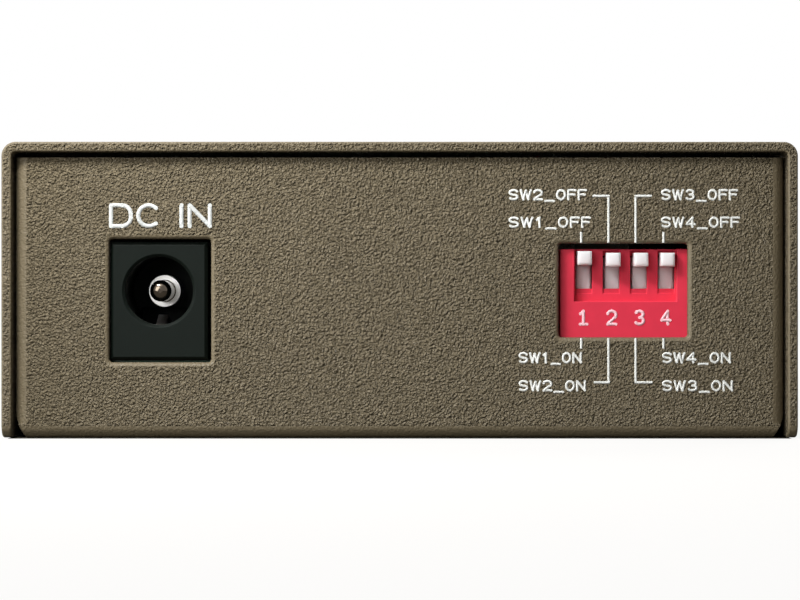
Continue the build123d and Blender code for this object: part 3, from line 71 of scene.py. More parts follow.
class Graph:
    """Adds nodes to one shader or geometry tree and joins them."""

    def __init__(self, tree: bpy.types.NodeTree) -> None:
        """Keeps the tree that the nodes go into."""
        self.tree = tree

    def node(self, kind: str, inputs: Inputs | None = None, **settings: object) -> bpy.types.Node:
        """Adds one node and fills or joins its inputs.

        Args:
            kind: Blender's name for the kind of node.
            inputs: A value or a socket for each input, by name or by number.
            settings: The node's own options, which are set before its inputs.

        Returns:
            The new node.
        """
        made = self.tree.nodes.new(kind)
        for option, value in settings.items():
            setattr(made, option, value)
        for key, value in (inputs or {}).items():
            socket = made.inputs[key]
            if isinstance(value, Socket):
                self.tree.links.new(value, socket)
            elif socket.type == "RGBA" and len(value) == 3:
                socket.default_value = (*value, 1.0)
            else:
                socket.default_value = value
        return made

    def put(self, kind: str, inputs: Inputs | None = None, **settings: object) -> Socket:
        """Adds one node and gives its first output."""
        return self.node(kind, inputs, **settings).outputs[0]

    def math(self, operation: str, *terms: object) -> Socket:
        """Adds an operation on numbers, by Blender's name for it."""
        return self.put("ShaderNodeMath", dict(enumerate(terms)), operation=operation)

    def times(self, *terms: object) -> Socket:
        """Adds a product."""
        return self.math("MULTIPLY", *terms)

    def blend(self, share: object, first: object, second: object) -> Socket:
        """Adds a mix of two colours, which is the first one at a share of 0."""
        inputs = {0: share, 6: first, 7: second}
        return self.node("ShaderNodeMix", inputs, data_type="RGBA").outputs[2]

    def span(
        self, value: Socket, start: float, end: float, low: float = 0.0, high: float = 1.0
    ) -> Socket:
        """Adds a map of the range from start to end onto the one from low to high."""
        inputs = {0: value, 1: start, 2: end, 3: low, 4: high}
        return self.put("ShaderNodeMapRange", inputs, clamp=True)

    def noise(self, place: Socket, scale: object, detail: float, **more: float) -> Socket:
        """Adds a noise field from 0 to 1, whose other inputs go by name."""
        inputs = {"Vector": place, "Scale": scale, "Detail": detail, **more}
        return self.put("ShaderNodeTexNoise", inputs)

    def cloud(
        self, place: Socket, scale: object, detail: float, low: float = 0.3, high: float = 0.7
    ) -> Socket:
        """Adds a noise field whose range from low to high is spread out to 0 to 1."""
        return self.span(self.noise(place, scale, detail), low, high)

    def stretched(self, place: Socket, scale: Colour) -> Socket:
        """Adds a place whose axes are stretched by different amounts."""
        return self.put("ShaderNodeMapping", {"Vector": place, "Scale": scale})


def emptied(block: bpy.types.Material | bpy.types.World) -> Graph:
    """Clears the nodes of a new material or world.

    Args:
        block: The material or the world.

    Returns:
        The graph that its nodes go into.
    """
    block.use_nodes = True
    block.node_tree.nodes.clear()
    return Graph(block.node_tree)


class Recipe:
    """A shader node group that is built once, by its first use."""

    name: str = ""
    inputs: dict[str, str] = {}
    outputs: dict[str, str] = {}

    @classmethod
    def tree(cls) -> bpy.types.NodeTree:
        """Gives the group's tree, built if it isn't there yet.

        Returns:
            The node tree of the group.
        """
        found = bpy.data.node_groups.get(cls.name)
        if found:
            return found
        tree = bpy.data.node_groups.new(cls.name, "ShaderNodeTree")
        for direction, sockets in (("INPUT", cls.inputs), ("OUTPUT", cls.outputs)):
            for name, kind in sockets.items():
                tree.interface.new_socket(name=name, in_out=direction, socket_type=kind)
        graph = Graph(tree)
        source = graph.node("NodeGroupInput")
        graph.node("NodeGroupOutput", cls.fill(graph, source.outputs))
        return tree

    @classmethod
    def fill(cls, graph: Graph, given: Outputs) -> Inputs:
        """Builds the group's nodes.

        Args:
            graph: The group's graph.
            given: The sockets that the group is given.

        Returns:
            A socket for each of the group's outputs, by name.
        """
        raise NotImplementedError

    @classmethod
    def use(cls, graph: Graph, inputs: Inputs) -> Outputs:
        """Places the group in a material.

        Args:
            graph: The material's graph.
            inputs: A value or a socket for each of the group's inputs.

        Returns:
            The outputs of the placed group.
        """
        return graph.node("ShaderNodeGroup", inputs, node_tree=cls.tree()).outputs


class LeatherGrain(Recipe):
    """Wrinkles and pebbles of a textured coat, with places in millimetres."""

    name = "leather_grain"
    inputs = {"Place": "NodeSocketVector", "Pebble": "NodeSocketFloat"}
    outputs = {"Height": "NodeSocketFloat", "Valley": "NodeSocketFloat"}
    cell_scale = 0.8
    cell_height = 0.4
    valley_span = (0.55, 0.72)

    @classmethod
    def fill(cls, graph: Graph, given: Outputs) -> Inputs:
        """Builds the wrinkles from two noises and the pebbles from cells.

        Args:
            graph: The group's graph.
            given: The sockets that the group is given.

        Returns:
            The height of the coat and the mask of its valleys.
        """
        per_pebble = graph.math("DIVIDE", 1.0, given["Pebble"])
        wrinkle = graph.noise(given["Place"], per_pebble, 1.0, Roughness=0.5, Distortion=0.6)
        cells = graph.put(
            "ShaderNodeTexVoronoi",
            {
                "Vector": given["Place"],
                "Scale": graph.times(per_pebble, cls.cell_scale),
                "Smoothness": 0.7,
            },
            feature="SMOOTH_F1",
        )
        raised = graph.math("SUBTRACT", 1.0, cells)
        height = graph.math("ADD", wrinkle, graph.times(raised, cls.cell_height))
        valley = graph.span(height, *cls.valley_span, 1.0, 0.0)
        return {"Height": height, "Valley": valley}


class MouldGrain(Recipe):
    """The fine skin that a mould or a mill leaves, with a slow drift in tone."""

    name = "mould_grain"
    inputs = {"Place": "NodeSocketVector", "Spacing": "NodeSocketFloat"}
    outputs = {"Height": "NodeSocketFloat", "Tone": "NodeSocketFloat"}

    @classmethod
    def fill(cls, graph: Graph, given: Outputs) -> Inputs:
        """Builds a fine noise for the skin and a slow one for the tone.

        Args:
            graph: The group's graph.
            given: The sockets that the group is given.

        Returns:
            The height of the skin and the tone, both from 0 to 1.
        """
        fine = graph.math("DIVIDE", 1.0, given["Spacing"])
        skin = graph.noise(given["Place"], fine, 3.0, Roughness=0.6)
        return {"Height": skin, "Tone": graph.cloud(given["Place"], graph.times(fine, 0.06), 2.0)}


class SoftEdge(Recipe):
    """Rounds sharp edges in the shading and marks where they are."""

    name = "soft_edge"
    inputs = {"Sharpness": "NodeSocketFloat", "Radius": "NodeSocketFloat"}
    outputs = {"Normal": "NodeSocketVector", "Edge": "NodeSocketFloat"}

    @classmethod
    def fill(cls, graph: Graph, given: Outputs) -> Inputs:
        """Compares a rounded normal with the true one.

        Args:
            graph: The group's graph.
            given: The sockets that the group is given.

        Returns:
            The rounded normal, and a mask that is 1 on the edges.
        """
        rounded = graph.put("ShaderNodeBevel", {"Radius": given["Radius"]}, samples=6)
        flat = graph.node("ShaderNodeNewGeometry").outputs["Normal"]
        alike = graph.node("ShaderNodeVectorMath", {0: rounded, 1: flat}, operation="DOT_PRODUCT")
        bend = graph.math("SUBTRACT", 1.0, alike.outputs["Value"])
        edge = graph.math("MINIMUM", graph.times(bend, given["Sharpness"]), 1.0)
        return {"Normal": rounded, "Edge": edge}


class FoldedMetal(Recipe):
    """Marks the folds and rounded edges of sheet metal that otherwise lies square."""

    name = "folded_metal"
    inputs = {"Squareness": "NodeSocketFloat"}
    outputs = {"Fold": "NodeSocketFloat"}

    @classmethod
    def fill(cls, graph: Graph, given: Outputs) -> Inputs:
        """Compares the surface's direction with the nearest axis.

        Args:
            graph: The group's graph.
            given: The sockets that the group is given.

        Returns:
            A mask that is 1 where the surface is far from square.
        """
        normal = graph.node("ShaderNodeNewGeometry").outputs["Normal"]
        parts = graph.node("ShaderNodeSeparateXYZ", {0: normal}).outputs
        sizes = [graph.math("ABSOLUTE", parts[axis]) for axis in range(3)]
        largest = graph.math("MAXIMUM", graph.math("MAXIMUM", sizes[0], sizes[1]), sizes[2])
        return {"Fold": graph.math("LESS_THAN", largest, given["Squareness"])}


class SettledDust(Recipe):
    """A thin film of dust on what faces up."""

    name = "settled_dust"
    inputs = {"Place": "NodeSocketVector", "Amount": "NodeSocketFloat"}
    outputs = {"Mask": "NodeSocketFloat"}

    @classmethod
    def fill(cls, graph: Graph, given: Outputs) -> Inputs:
        """Multiplies the upward slant of the surface by a patchy noise.

        Args:
            graph: The group's graph.
            given: The sockets that the group is given.

        Returns:
            The mask of the dust, from 0 to the amount.
        """
        normal = graph.node("ShaderNodeNewGeometry").outputs["Normal"]
        upward = graph.node("ShaderNodeSeparateXYZ", {0: normal}).outputs[2]
        patch = graph.cloud(given["Place"], 0.9, 4.0, 0.35, 0.75)
        lies = graph.times(graph.span(upward, 0.2, 1.0), patch)
        return {"Mask": graph.times(lies, given["Amount"])}


@dataclass(frozen=True)
class Finish:
    """What every finish of the converter has: a name, a colour and a gloss."""

    name: str
    colour: Colour
    roughness: float = 0.5

    def material(self) -> bpy.types.Material:
        """Gives the finish's material, built if it isn't there yet.

        Returns:
            The material.
        """
        label = f"{self.name}_finish"
        found = bpy.data.materials.get(label)
        if found:
            return found
        made = bpy.data.materials.new(label)
        graph = emptied(made)
        metres = graph.node("ShaderNodeTexCoord").outputs["Object"]
        place = graph.put("ShaderNodeVectorMath", {0: metres, "Scale": 1 / MM}, operation="SCALE")
        shader = graph.node("ShaderNodeBsdfPrincipled", self.surface(graph, place))
        graph.node("ShaderNodeOutputMaterial", {"Surface": shader.outputs[0]})
        return made

    def surface(self, graph: Graph, place: Socket) -> Inputs:
        """Builds the finish's nodes.

        Args:
            graph: The material's graph.
            place: The place on the object, in millimetres.

        Returns:
            The shader's inputs that the finish sets.
        """
        raise NotImplementedError

    def shade(self, factor: float) -> Colour:
        """Gives the finish's colour, lightened or darkened by a factor."""
        return tuple(min(1.0, part * factor) for part in self.colour)

    def bump(self, graph: Graph, height: object, depth: float, normal: object = None) -> Socket:
        """Adds a relief to the shading.

        Args:
            graph: The material's graph.
            height: The relief, where 1 is its full depth.
            depth: The full depth in metres.
            normal: The normal under the relief, if it isn't the surface's own.

        Returns:
            The socket that holds the normal.
        """
        inputs = {"Height": height, "Distance": depth}
        if normal is not None:
            inputs["Normal"] = normal
        return graph.put("ShaderNodeBump", inputs)


@dataclass(frozen=True)
class LeatherCoat(Finish):
    """Powder coat with a leather grain, rounded on its edges, with painted shade on its edges, its
    folds and in the valleys of its grain.
    """

    pebble: float = PEBBLE
    depth: float = 0.76 * MM
    edge_radius: float = 0.25 * MM
    edge_wear: float = 0.7
    edge_smoothing: float = 0.6
    fold_smoothing: float = 0.9
    specular: float = 0.35
    drift_tone: float = 0.04
    valley_shade: float = 0.9
    valley_matt: float = 0.15
    edge_shade: float = 0.95
    fold_shade: float = 0.86
    squareness: float = 0.99
    dust: float = 0.06
    dust_colour: Colour = (0.34, 0.32, 0.28)

    def surface(self, graph: Graph, place: Socket) -> Inputs:
        """Builds the coat from the grain, with painted shade in its valleys, on its edges and on
        its folds.

        Args:
            graph: The material's graph.
            place: The place on the object, in millimetres.

        Returns:
            The shader's inputs that the coat sets.
        """
        grain = LeatherGrain.use(graph, {"Place": place, "Pebble": self.pebble})
        edge = SoftEdge.use(graph, {"Sharpness": 6.0, "Radius": self.edge_radius})
        fold = FoldedMetal.use(graph, {"Squareness": self.squareness})["Fold"]
        dust = SettledDust.use(graph, {"Place": place, "Amount": self.dust})["Mask"]
        tones = self.shade(1 - self.drift_tone), self.shade(1 + self.drift_tone)
        base = graph.blend(graph.cloud(place, 0.05, 2.0), *tones)
        # Painted shade: the colour is darkened in the grain's valleys, where shade falls.
        painted_valley_shading = graph.blend(grain["Valley"], base, self.shade(self.valley_shade))
        # Painted shade: the rounded edges get a slightly darker colour.
        edge_painted_shading = graph.blend(
            graph.times(edge["Edge"], self.edge_wear), painted_valley_shading, self.shade(self.edge_shade)
        )
        # Painted shade: the folds of the sheet get a darker colour, standing in for the shade on
        # the bends.
        folded = graph.blend(fold, edge_painted_shading, self.shade(self.fold_shade))
        on_edge = graph.times(edge["Edge"], self.edge_smoothing)
        smooth = graph.math("MAXIMUM", on_edge, graph.times(fold, self.fold_smoothing))
        height = graph.times(grain["Height"], graph.math("SUBTRACT", 1.0, smooth))
        return {
            "Base Color": graph.blend(dust, folded, self.dust_colour),
            "Roughness": graph.span(
                grain["Valley"], 0.0, 1.0, self.roughness, self.roughness + self.valley_matt
            ),
            "Specular IOR Level": self.specular,
            "Normal": self.bump(graph, height, self.depth, edge["Normal"]),
        }


@dataclass(frozen=True)
class PrintedInk(Finish):
    """Screen-printed ink that follows the grain of the coat under it."""

    pebble: float = PEBBLE
    depth: float = 0.04 * MM
    thin_share: float = 0.5
    thin_shade: float = 0.82

    def surface(self, graph: Graph, place: Socket) -> Inputs:
        """Builds the ink over the grain, thinner in its valleys.

        Args:
            graph: The material's graph.
            place: The place on the object, in millimetres.

        Returns:
            The shader's inputs that the ink sets.
        """
        grain = LeatherGrain.use(graph, {"Place": place, "Pebble": self.pebble})
        thin = graph.times(grain["Valley"], self.thin_share)
        return {
            "Base Color": graph.blend(thin, self.colour, self.shade(self.thin_shade)),
            "Roughness": self.roughness,
            "Specular IOR Level": 0.3,
            "Normal": self.bump(graph, grain["Height"], self.depth),
        }


@dataclass(frozen=True)
class MouldedPlastic(Finish):
    """Moulded plastic with a fine skin, softly rounded edges and a painted highlight on them."""

    spacing: float = 0.08
    depth: float = 0.004 * MM
    edge_radius: float = 0.08 * MM
    specular: float = 0.35
    edge_shade: float = 1.15
    tone: float = 0.06
    glow: float = 0.0
    glow_reach: float = 1.6 * MM
    dust: float = 0.05
    dust_colour: Colour = (0.4, 0.38, 0.35)

    def surface(self, graph: Graph, place: Socket) -> Inputs:
        """Builds the plastic from its skin, its tone and a painted highlight on its edges.

        Args:
            graph: The material's graph.
            place: The place on the object, in millimetres.

        Returns:
            The shader's inputs that the plastic sets.
        """
        skin = MouldGrain.use(graph, {"Place": place, "Spacing": self.spacing})
        edge = SoftEdge.use(graph, {"Sharpness": 5.0, "Radius": self.edge_radius})
        toned = graph.blend(skin["Tone"], self.shade(1 - self.tone), self.shade(1 + self.tone))
        # Painted highlight: the edges get a lighter colour, standing in for the light that they
        # catch.
        edge_painted_shading = graph.blend(edge["Edge"], toned, self.shade(self.edge_shade))
        dust = SettledDust.use(graph, {"Place": place, "Amount": self.dust})
        inputs = {
            "Base Color": graph.blend(dust["Mask"], edge_painted_shading, self.dust_colour),
            "Roughness": graph.span(
                skin["Height"], 0.2, 0.8, self.roughness - 0.04, self.roughness + 0.08
            ),
            "Specular IOR Level": self.specular,
            "Normal": self.bump(graph, skin["Height"], self.depth, edge["Normal"]),
        }
        if self.glow:
            inputs["Subsurface Weight"] = self.glow
            inputs["Subsurface Radius"] = WHITE
            inputs["Subsurface Scale"] = self.glow_reach
        return inputs


class Grain(Enum):
    """Which way the marks on a metal run."""

    ALONG_Y = (1.0, 0.04, 1.0)
    ALONG_Z = (1.0, 1.0, 0.04)
    EVEN = (1.0, 1.0, 1.0)


@dataclass(frozen=True)
class PlatedMetal(Finish):
    """Plated or bare metal with the marks of its rolling, drawing or turning, and a painted
    highlight on its edges.
    """

    grain: Grain = Grain.EVEN
    spacing: float = 0.05
    depth: float = 0.002 * MM
    edge_radius: float = 0.05 * MM
    tarnish: float = 0.8
    tarnish_share: float = 0.6
    tarnish_matt: float = 0.15
    edge_shade: float = 1.1

    def surface(self, graph: Graph, place: Socket) -> Inputs:
        """Builds the metal from its marks, its tarnish and a painted highlight on its edges.

        Args:
            graph: The material's graph.
            place: The place on the object, in millimetres.

        Returns:
            The shader's inputs that the metal sets.
        """
        run = graph.stretched(place, self.grain.value)
        marks = MouldGrain.use(graph, {"Place": run, "Spacing": self.spacing})
        edge = SoftEdge.use(graph, {"Sharpness": 5.0, "Radius": self.edge_radius})
        dull = graph.span(graph.noise(place, 0.7, 4.0), 0.4, 0.75, 0.0, self.tarnish_share)
        colour = graph.blend(dull, self.colour, self.shade(self.tarnish))
        # Painted highlight: the edges get a lighter colour, standing in for the light that they
        # catch.
        bright = graph.blend(edge["Edge"], colour, self.shade(self.edge_shade))
        gloss = graph.math(
            "ADD", graph.span(marks["Height"], 0.2, 0.8, -0.05, 0.08), self.roughness
        )
        return {
            "Base Color": bright,
            "Metallic": 1.0,
            "Roughness": graph.math("ADD", gloss, graph.times(dull, self.tarnish_matt)),
            "Normal": self.bump(graph, marks["Height"], self.depth, edge["Normal"]),
        }


@dataclass(frozen=True)
class TurnedPin(Finish):
    """A polished pin whose colour holds a painted dark reflection of the bore round it, standing on
    a paler, matt collar.
    """

    axis: tuple[float, float] = (0.0, 0.0)
    radius: float = 1.0
    collar_colour: Colour = (0.92, 0.91, 0.88)
    collar_roughness: float = 0.3

    def surface(self, graph: Graph, place: Socket) -> Inputs:
        """Builds the pin and its collar by the distance from the axis.

        Args:
            graph: The material's graph.
            place: The place on the object, in millimetres.

        Returns:
            The shader's inputs that the pin sets.
        """
        axes = graph.node("ShaderNodeSeparateXYZ", {0: place}).outputs
        offsets = [
            graph.math("SUBTRACT", axes[axis], centre) for axis, centre in zip((0, 2), self.axis)
        ]
        squares = [graph.times(offset, offset) for offset in offsets]
        reach = graph.math("SQRT", graph.math("ADD", *squares))
        collar = graph.math("GREATER_THAN", reach, self.radius)
        turning = MouldGrain.use(
            graph, {"Place": graph.stretched(place, Grain.ALONG_Y.value), "Spacing": 0.05}
        )
        edge = SoftEdge.use(graph, {"Sharpness": 5.0, "Radius": 0.05 * MM})
        rough = graph.span(collar, 0.0, 1.0, self.roughness, self.collar_roughness)
        return {
            "Base Color": graph.blend(collar, self.colour, self.collar_colour),
            "Metallic": 1.0,
            "Roughness": graph.math(
                "ADD", rough, graph.span(turning["Tone"], 0.0, 1.0, -0.02, 0.03)
            ),
            "Normal": self.bump(graph, turning["Height"], 0.001 * MM, edge["Normal"]),
        }


@dataclass(frozen=True)
class SolderMask(Finish):
    """Lacquered circuit board with copper tracks showing through as paler lines."""

    track_pitch: float = 1.27
    track_share: float = 0.3
    track_shade: float = 2.1
    track_gloss: float = 0.08
    track_depth: float = 0.03 * MM
    patch_scale: float = 0.11
    bare_patches: float = 0.2

    def surface(self, graph: Graph, place: Socket) -> Inputs:
        """Builds the tracks from stripes that change direction in patches.

        Args:
            graph: The material's graph.
            place: The place on the object, in millimetres.

        Returns:
            The shader's inputs that the board sets.
        """
        axes = graph.node("ShaderNodeSeparateXYZ", {0: place}).outputs
        patch = graph.node(
            "ShaderNodeTexVoronoi",
            {"Vector": place, "Scale": self.patch_scale},
            feature="F1",
            distance="CHEBYCHEV",
        )
        turn = graph.put("ShaderNodeSeparateColor", {0: patch.outputs["Color"]})
        across = graph.math("GREATER_THAN", turn, 0.5)
        along_x = graph.times(axes[0], graph.math("SUBTRACT", 1.0, across))
        along_y = graph.times(axes[1], across)
        lane = graph.math("DIVIDE", graph.math("ADD", along_x, along_y), self.track_pitch)
        phase = graph.math("FRACT", graph.math("ABSOLUTE", lane))
        track = graph.math("LESS_THAN", phase, self.track_share)
        shown = graph.times(track, graph.math("GREATER_THAN", turn, self.bare_patches))
        gloss = self.roughness - self.track_gloss
        return {
            "Base Color": graph.blend(shown, self.colour, self.shade(self.track_shade)),
            "Roughness": graph.span(shown, 0.0, 1.0, self.roughness, gloss),
            "Specular IOR Level": 0.5,
            "Normal": self.bump(graph, shown, self.track_depth),
        }


@dataclass(frozen=True)
class TintedResin(Finish):
    """Tinted, slightly clouded resin of an indicator lamp that is off."""

    clearness: float = 0.35
    cloudiness: float = 0.4
    cloud_reach: float = 1.0 * MM
    ripple_depth: float = 0.004 * MM

    def surface(self, graph: Graph, place: Socket) -> Inputs:
        """Builds the resin with a cloudy tint.

        Args:
            graph: The material's graph.
            place: The place on the object, in millimetres.

        Returns:
            The shader's inputs that the resin sets.
        """
        cloud = graph.cloud(place, 2.5, 3.0)
        ripple = graph.noise(place, 6.0, 2.0)
        return {
            "Base Color": graph.blend(cloud, self.shade(0.85), self.shade(1.1)),
            "Roughness": self.roughness,
            "Transmission Weight": self.clearness,
            "IOR": 1.52,
            "Subsurface Weight": self.cloudiness,
            "Subsurface Radius": (0.4, 1.0, 0.4),
            "Subsurface Scale": self.cloud_reach,
            "Normal": self.bump(graph, ripple, self.ripple_depth),
        }


@dataclass(frozen=True)
class FiredCeramic(Finish):
    """Pressed or ground ceramic with speckles."""

    speckle: float = 12.0
    speckle_shade: float = 0.8

    def surface(self, graph: Graph, place: Socket) -> Inputs:
        """Builds the ceramic with its speckles and pits.

        Args:
            graph: The material's graph.
            place: The place on the object, in millimetres.

        Returns:
            The shader's inputs that the ceramic sets.
        """
        spots = graph.cloud(place, self.speckle, 3.0, 0.45, 0.65)
        edge = SoftEdge.use(graph, {"Sharpness": 4.0, "Radius": 0.06 * MM})
        return {
            "Base Color": graph.blend(spots, self.colour, self.shade(self.speckle_shade)),
            "Roughness": graph.span(spots, 0.0, 1.0, self.roughness, self.roughness + 0.1),
            "Specular IOR Level": 0.45,
            "Normal": self.bump(graph, spots, 0.003 * MM, edge["Normal"]),
        }


BLACK = (0.004, 0.0048, 0.0046)
SOCKET_BLACK = (0.004, 0.0068, 0.005)
COAT_COLOUR = (0.19, 0.154, 0.094)

FINISHES: dict[str, Finish] = {
    "case_paint": LeatherCoat("case_coat", COAT_COLOUR, 0.45),
    "screw_steel": PlatedMetal("dark_screw_steel", (0.3, 0.29, 0.27), 0.32),
    "post_steel": PlatedMetal("post_steel", (0.6, 0.58, 0.54), 0.3, grain=Grain.ALONG_Z),
    "board_mask": SolderMask("board_lacquer", (0.008, 0.09, 0.03), 0.3),
    "socket_black": MouldedPlastic(
        "socket_black",
        SOCKET_BLACK,
        0.5,
        spacing=0.13,
        depth=0.012 * MM,
        specular=0.12,
        # A strong painted highlight on the socket's black edges.
        edge_shade=2.2,
        dust=0.02,
    ),
    "contact_metal": PlatedMetal("tinned_contact", (0.72, 0.7, 0.66), 0.22),
    "contact_gold": PlatedMetal("gilt_contact", (0.86, 0.6, 0.24), 0.2, tarnish=0.9),
    "switch_red": MouldedPlastic(
        "switch_red",
        (0.74, 0.034, 0.07),
        0.42,
        specular=0.3,
        edge_radius=0.12 * MM,
        edge_shade=1.2,
        tone=0.03,
    ),
    "switch_black": MouldedPlastic("switch_black", BLACK, 0.5, specular=0.25),
    "slider_white": MouldedPlastic(
        "slider_white",
        (0.92, 0.9, 0.91),
        0.4,
        specular=0.3,
        edge_radius=0.12 * MM,
        edge_shade=1.02,
        tone=0.02,
        glow=1.0,
    ),
    "shield_metal": PlatedMetal(
        "shield_nickel", (0.68, 0.66, 0.62), 0.26, grain=Grain.ALONG_Y, spacing=0.1
    ),
    "fibre_black": MouldedPlastic(
        "transceiver_black", (0.012, 0.012, 0.013), 0.44, spacing=0.14, depth=0.01 * MM
    ),
    "fibre_blue": MouldedPlastic("latch_blue", (0.02, 0.13, 0.45), 0.4),
    "ferrule_white": FiredCeramic("ferrule_ceramic", (0.82, 0.81, 0.77), 0.25, speckle_shade=0.95),
    "can_gold": PlatedMetal("optical_can", (0.8, 0.58, 0.26), 0.24),
    "lamp_green": TintedResin("lamp_resin", (0.1, 0.5, 0.13), 0.18),
    "chip_black": MouldedPlastic(
        "chip_black", (0.014, 0.014, 0.016), 0.55, spacing=0.12, depth=0.012 * MM
    ),
    "crystal_metal": PlatedMetal("crystal_can", (0.66, 0.65, 0.62), 0.28, grain=Grain.ALONG_Z),
    "coil_ferrite": FiredCeramic("coil_ferrite", (0.05, 0.05, 0.052), 0.55),
    "capacitor_metal": PlatedMetal("capacitor_can", (0.78, 0.78, 0.79), 0.3, grain=Grain.ALONG_Z),
    "component_ceramic": FiredCeramic("component_ceramic", (0.32, 0.24, 0.15), 0.4),
}
# Painted shade: the leaf's metal is near black, standing in for the shade deep in the socket's
# bore.
SHADED_LEAF_METAL = PlatedMetal("shaded_sprung_leaf", (0.05, 0.046, 0.04), 0.4)
INK_WHITE = PrintedInk("legend_ink", (0.82, 0.83, 0.79), 0.55)
# Painted shade: the word takes a darker copy of the white ink, to offset the stronger light on that
# side of the panel.
INK_WORD_SHADED = PrintedInk("shaded_word_ink", (0.62, 0.64, 0.62), 0.55)
INK_ROSE = PrintedInk("digit_ink", (1.0, 0.6, 0.66), 0.5, depth=0.004 * MM)
SOLDER = PlatedMetal("solder", (0.7, 0.7, 0.69), 0.24, spacing=0.3, depth=0.01 * MM)


def added(name: str, data: bpy.types.ID) -> bpy.types.Object:
    """Makes an object of some data and links it to the scene.

    Args:
        name: The object's name.
        data: Its mesh, lamp or camera.

    Returns:
        The object.
    """
    made = bpy.data.objects.new(name, data)
    bpy.context.scene.collection.objects.link(made)
    return made


def slot_of(node: str) -> str:
    """Gives the record's material slot of a CAD node."""
    return next(
        part["material_slot"] for part in frame["record"]["subparts"] if part["node"] == node
    )


def dress(node: str, finish: Finish | None = None) -> None:
    """Gives a CAD node the finish of its slot.

    Args:
        node: The node's name.
        finish: A finish of its own, if the slot's isn't the right one.
    """
    shown = frame["nodes"][node]
    chosen = finish or FINISHES[slot_of(node)]
    if not shown.material_slots:
        shown.data.materials.append(None)
    for slot in shown.material_slots:
        slot.material = chosen.material()
    log.info("dressed %s", node)


def middle(node: str) -> Vector:
    """Gives the middle of a CAD node's box."""
    low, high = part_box(node)
    return (low + high) / 2


def merged_copy(node: str) -> bmesh.types.BMesh:
    """Copies a CAD node's mesh and joins its loose triangles.

    Args:
        node: The node's name.

    Returns:
        The copy, which the caller frees.
    """
    copy = bmesh.new()
    copy.from_mesh(frame["nodes"][node].data)
    bmesh.ops.remove_doubles(copy, verts=copy.verts, dist=0.001 * MM)
    return copy


def groups(left: set, near: Callable[[object], set]) -> list[list]:
    """Splits items into the groups that hang together.

    Args:
        left: The items, which the function uses up.
        near: Gives the items next to one.

    Returns:
        The items of each group.
    """
    found = []
    while left:
        waiting, group = [left.pop()], []
        while waiting:
            item = waiting.pop()
            group.append(item)
            reached = near(item) & left
            left -= reached
            waiting += reached
        found.append(group)
    return found


def sorted_boxes(clouds: Iterable[list[Vector]]) -> list[Box]:
    """Gives the box round each cloud of points, in the order of their low corners."""
    return sorted((corner_box(cloud) for cloud in clouds), key=lambda box: tuple(box[0]))


def islands(node: str) -> list[Box]:
    """Finds the separate solids of a CAD node.

    Args:
        node: The node's name.

    Returns:
        The lowest and highest corner of each solid.
    """
    copy = merged_copy(node)
    solids = groups(set(copy.verts), lambda v: {edge.other_vert(v) for edge in v.link_edges})
    boxes = sorted_boxes([v.co.copy() for v in solid] for solid in solids)
    copy.free()
    return boxes


def corner_box(corners: list[Vector]) -> Box:
    """Gives the lowest and highest corner of the box round some points."""
    low = Vector(min(corner[axis] for corner in corners) for axis in range(3))
    high = Vector(max(corner[axis] for corner in corners) for axis in range(3))
    return low, high


def flat_patches(copy: bmesh.types.BMesh, level: float, slack: float) -> list[Box]:
    """Finds the separate flat faces of a mesh at one height.

    Args:
        copy: The mesh, with its doubles merged.
        level: The height of the faces.
        slack: How far from that height a corner may lie.

    Returns:
        The lowest and highest corner of each patch.
    """
    flat = {face for face in copy.faces if all(abs(v.co.z - level) < slack for v in face.verts)}
    patches = groups(flat, lambda face: {other for v in face.verts for other in v.link_faces})
    return sorted_boxes([v.co.copy() for face in patch for v in face.verts] for patch in patches)


def finished(piece: bpy.types.Object, body: str) -> bpy.types.Object:
    """Puts a finished piece on its body and reports it.

    Args:
        piece: The piece, with its place in its mesh.
        body: The CAD body that it rides on.

    Returns:
        The same piece.
    """
    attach(piece, body)
    log.info("%s: %d faces on body %s", piece.name, len(piece.data.polygons), body)
    return piece


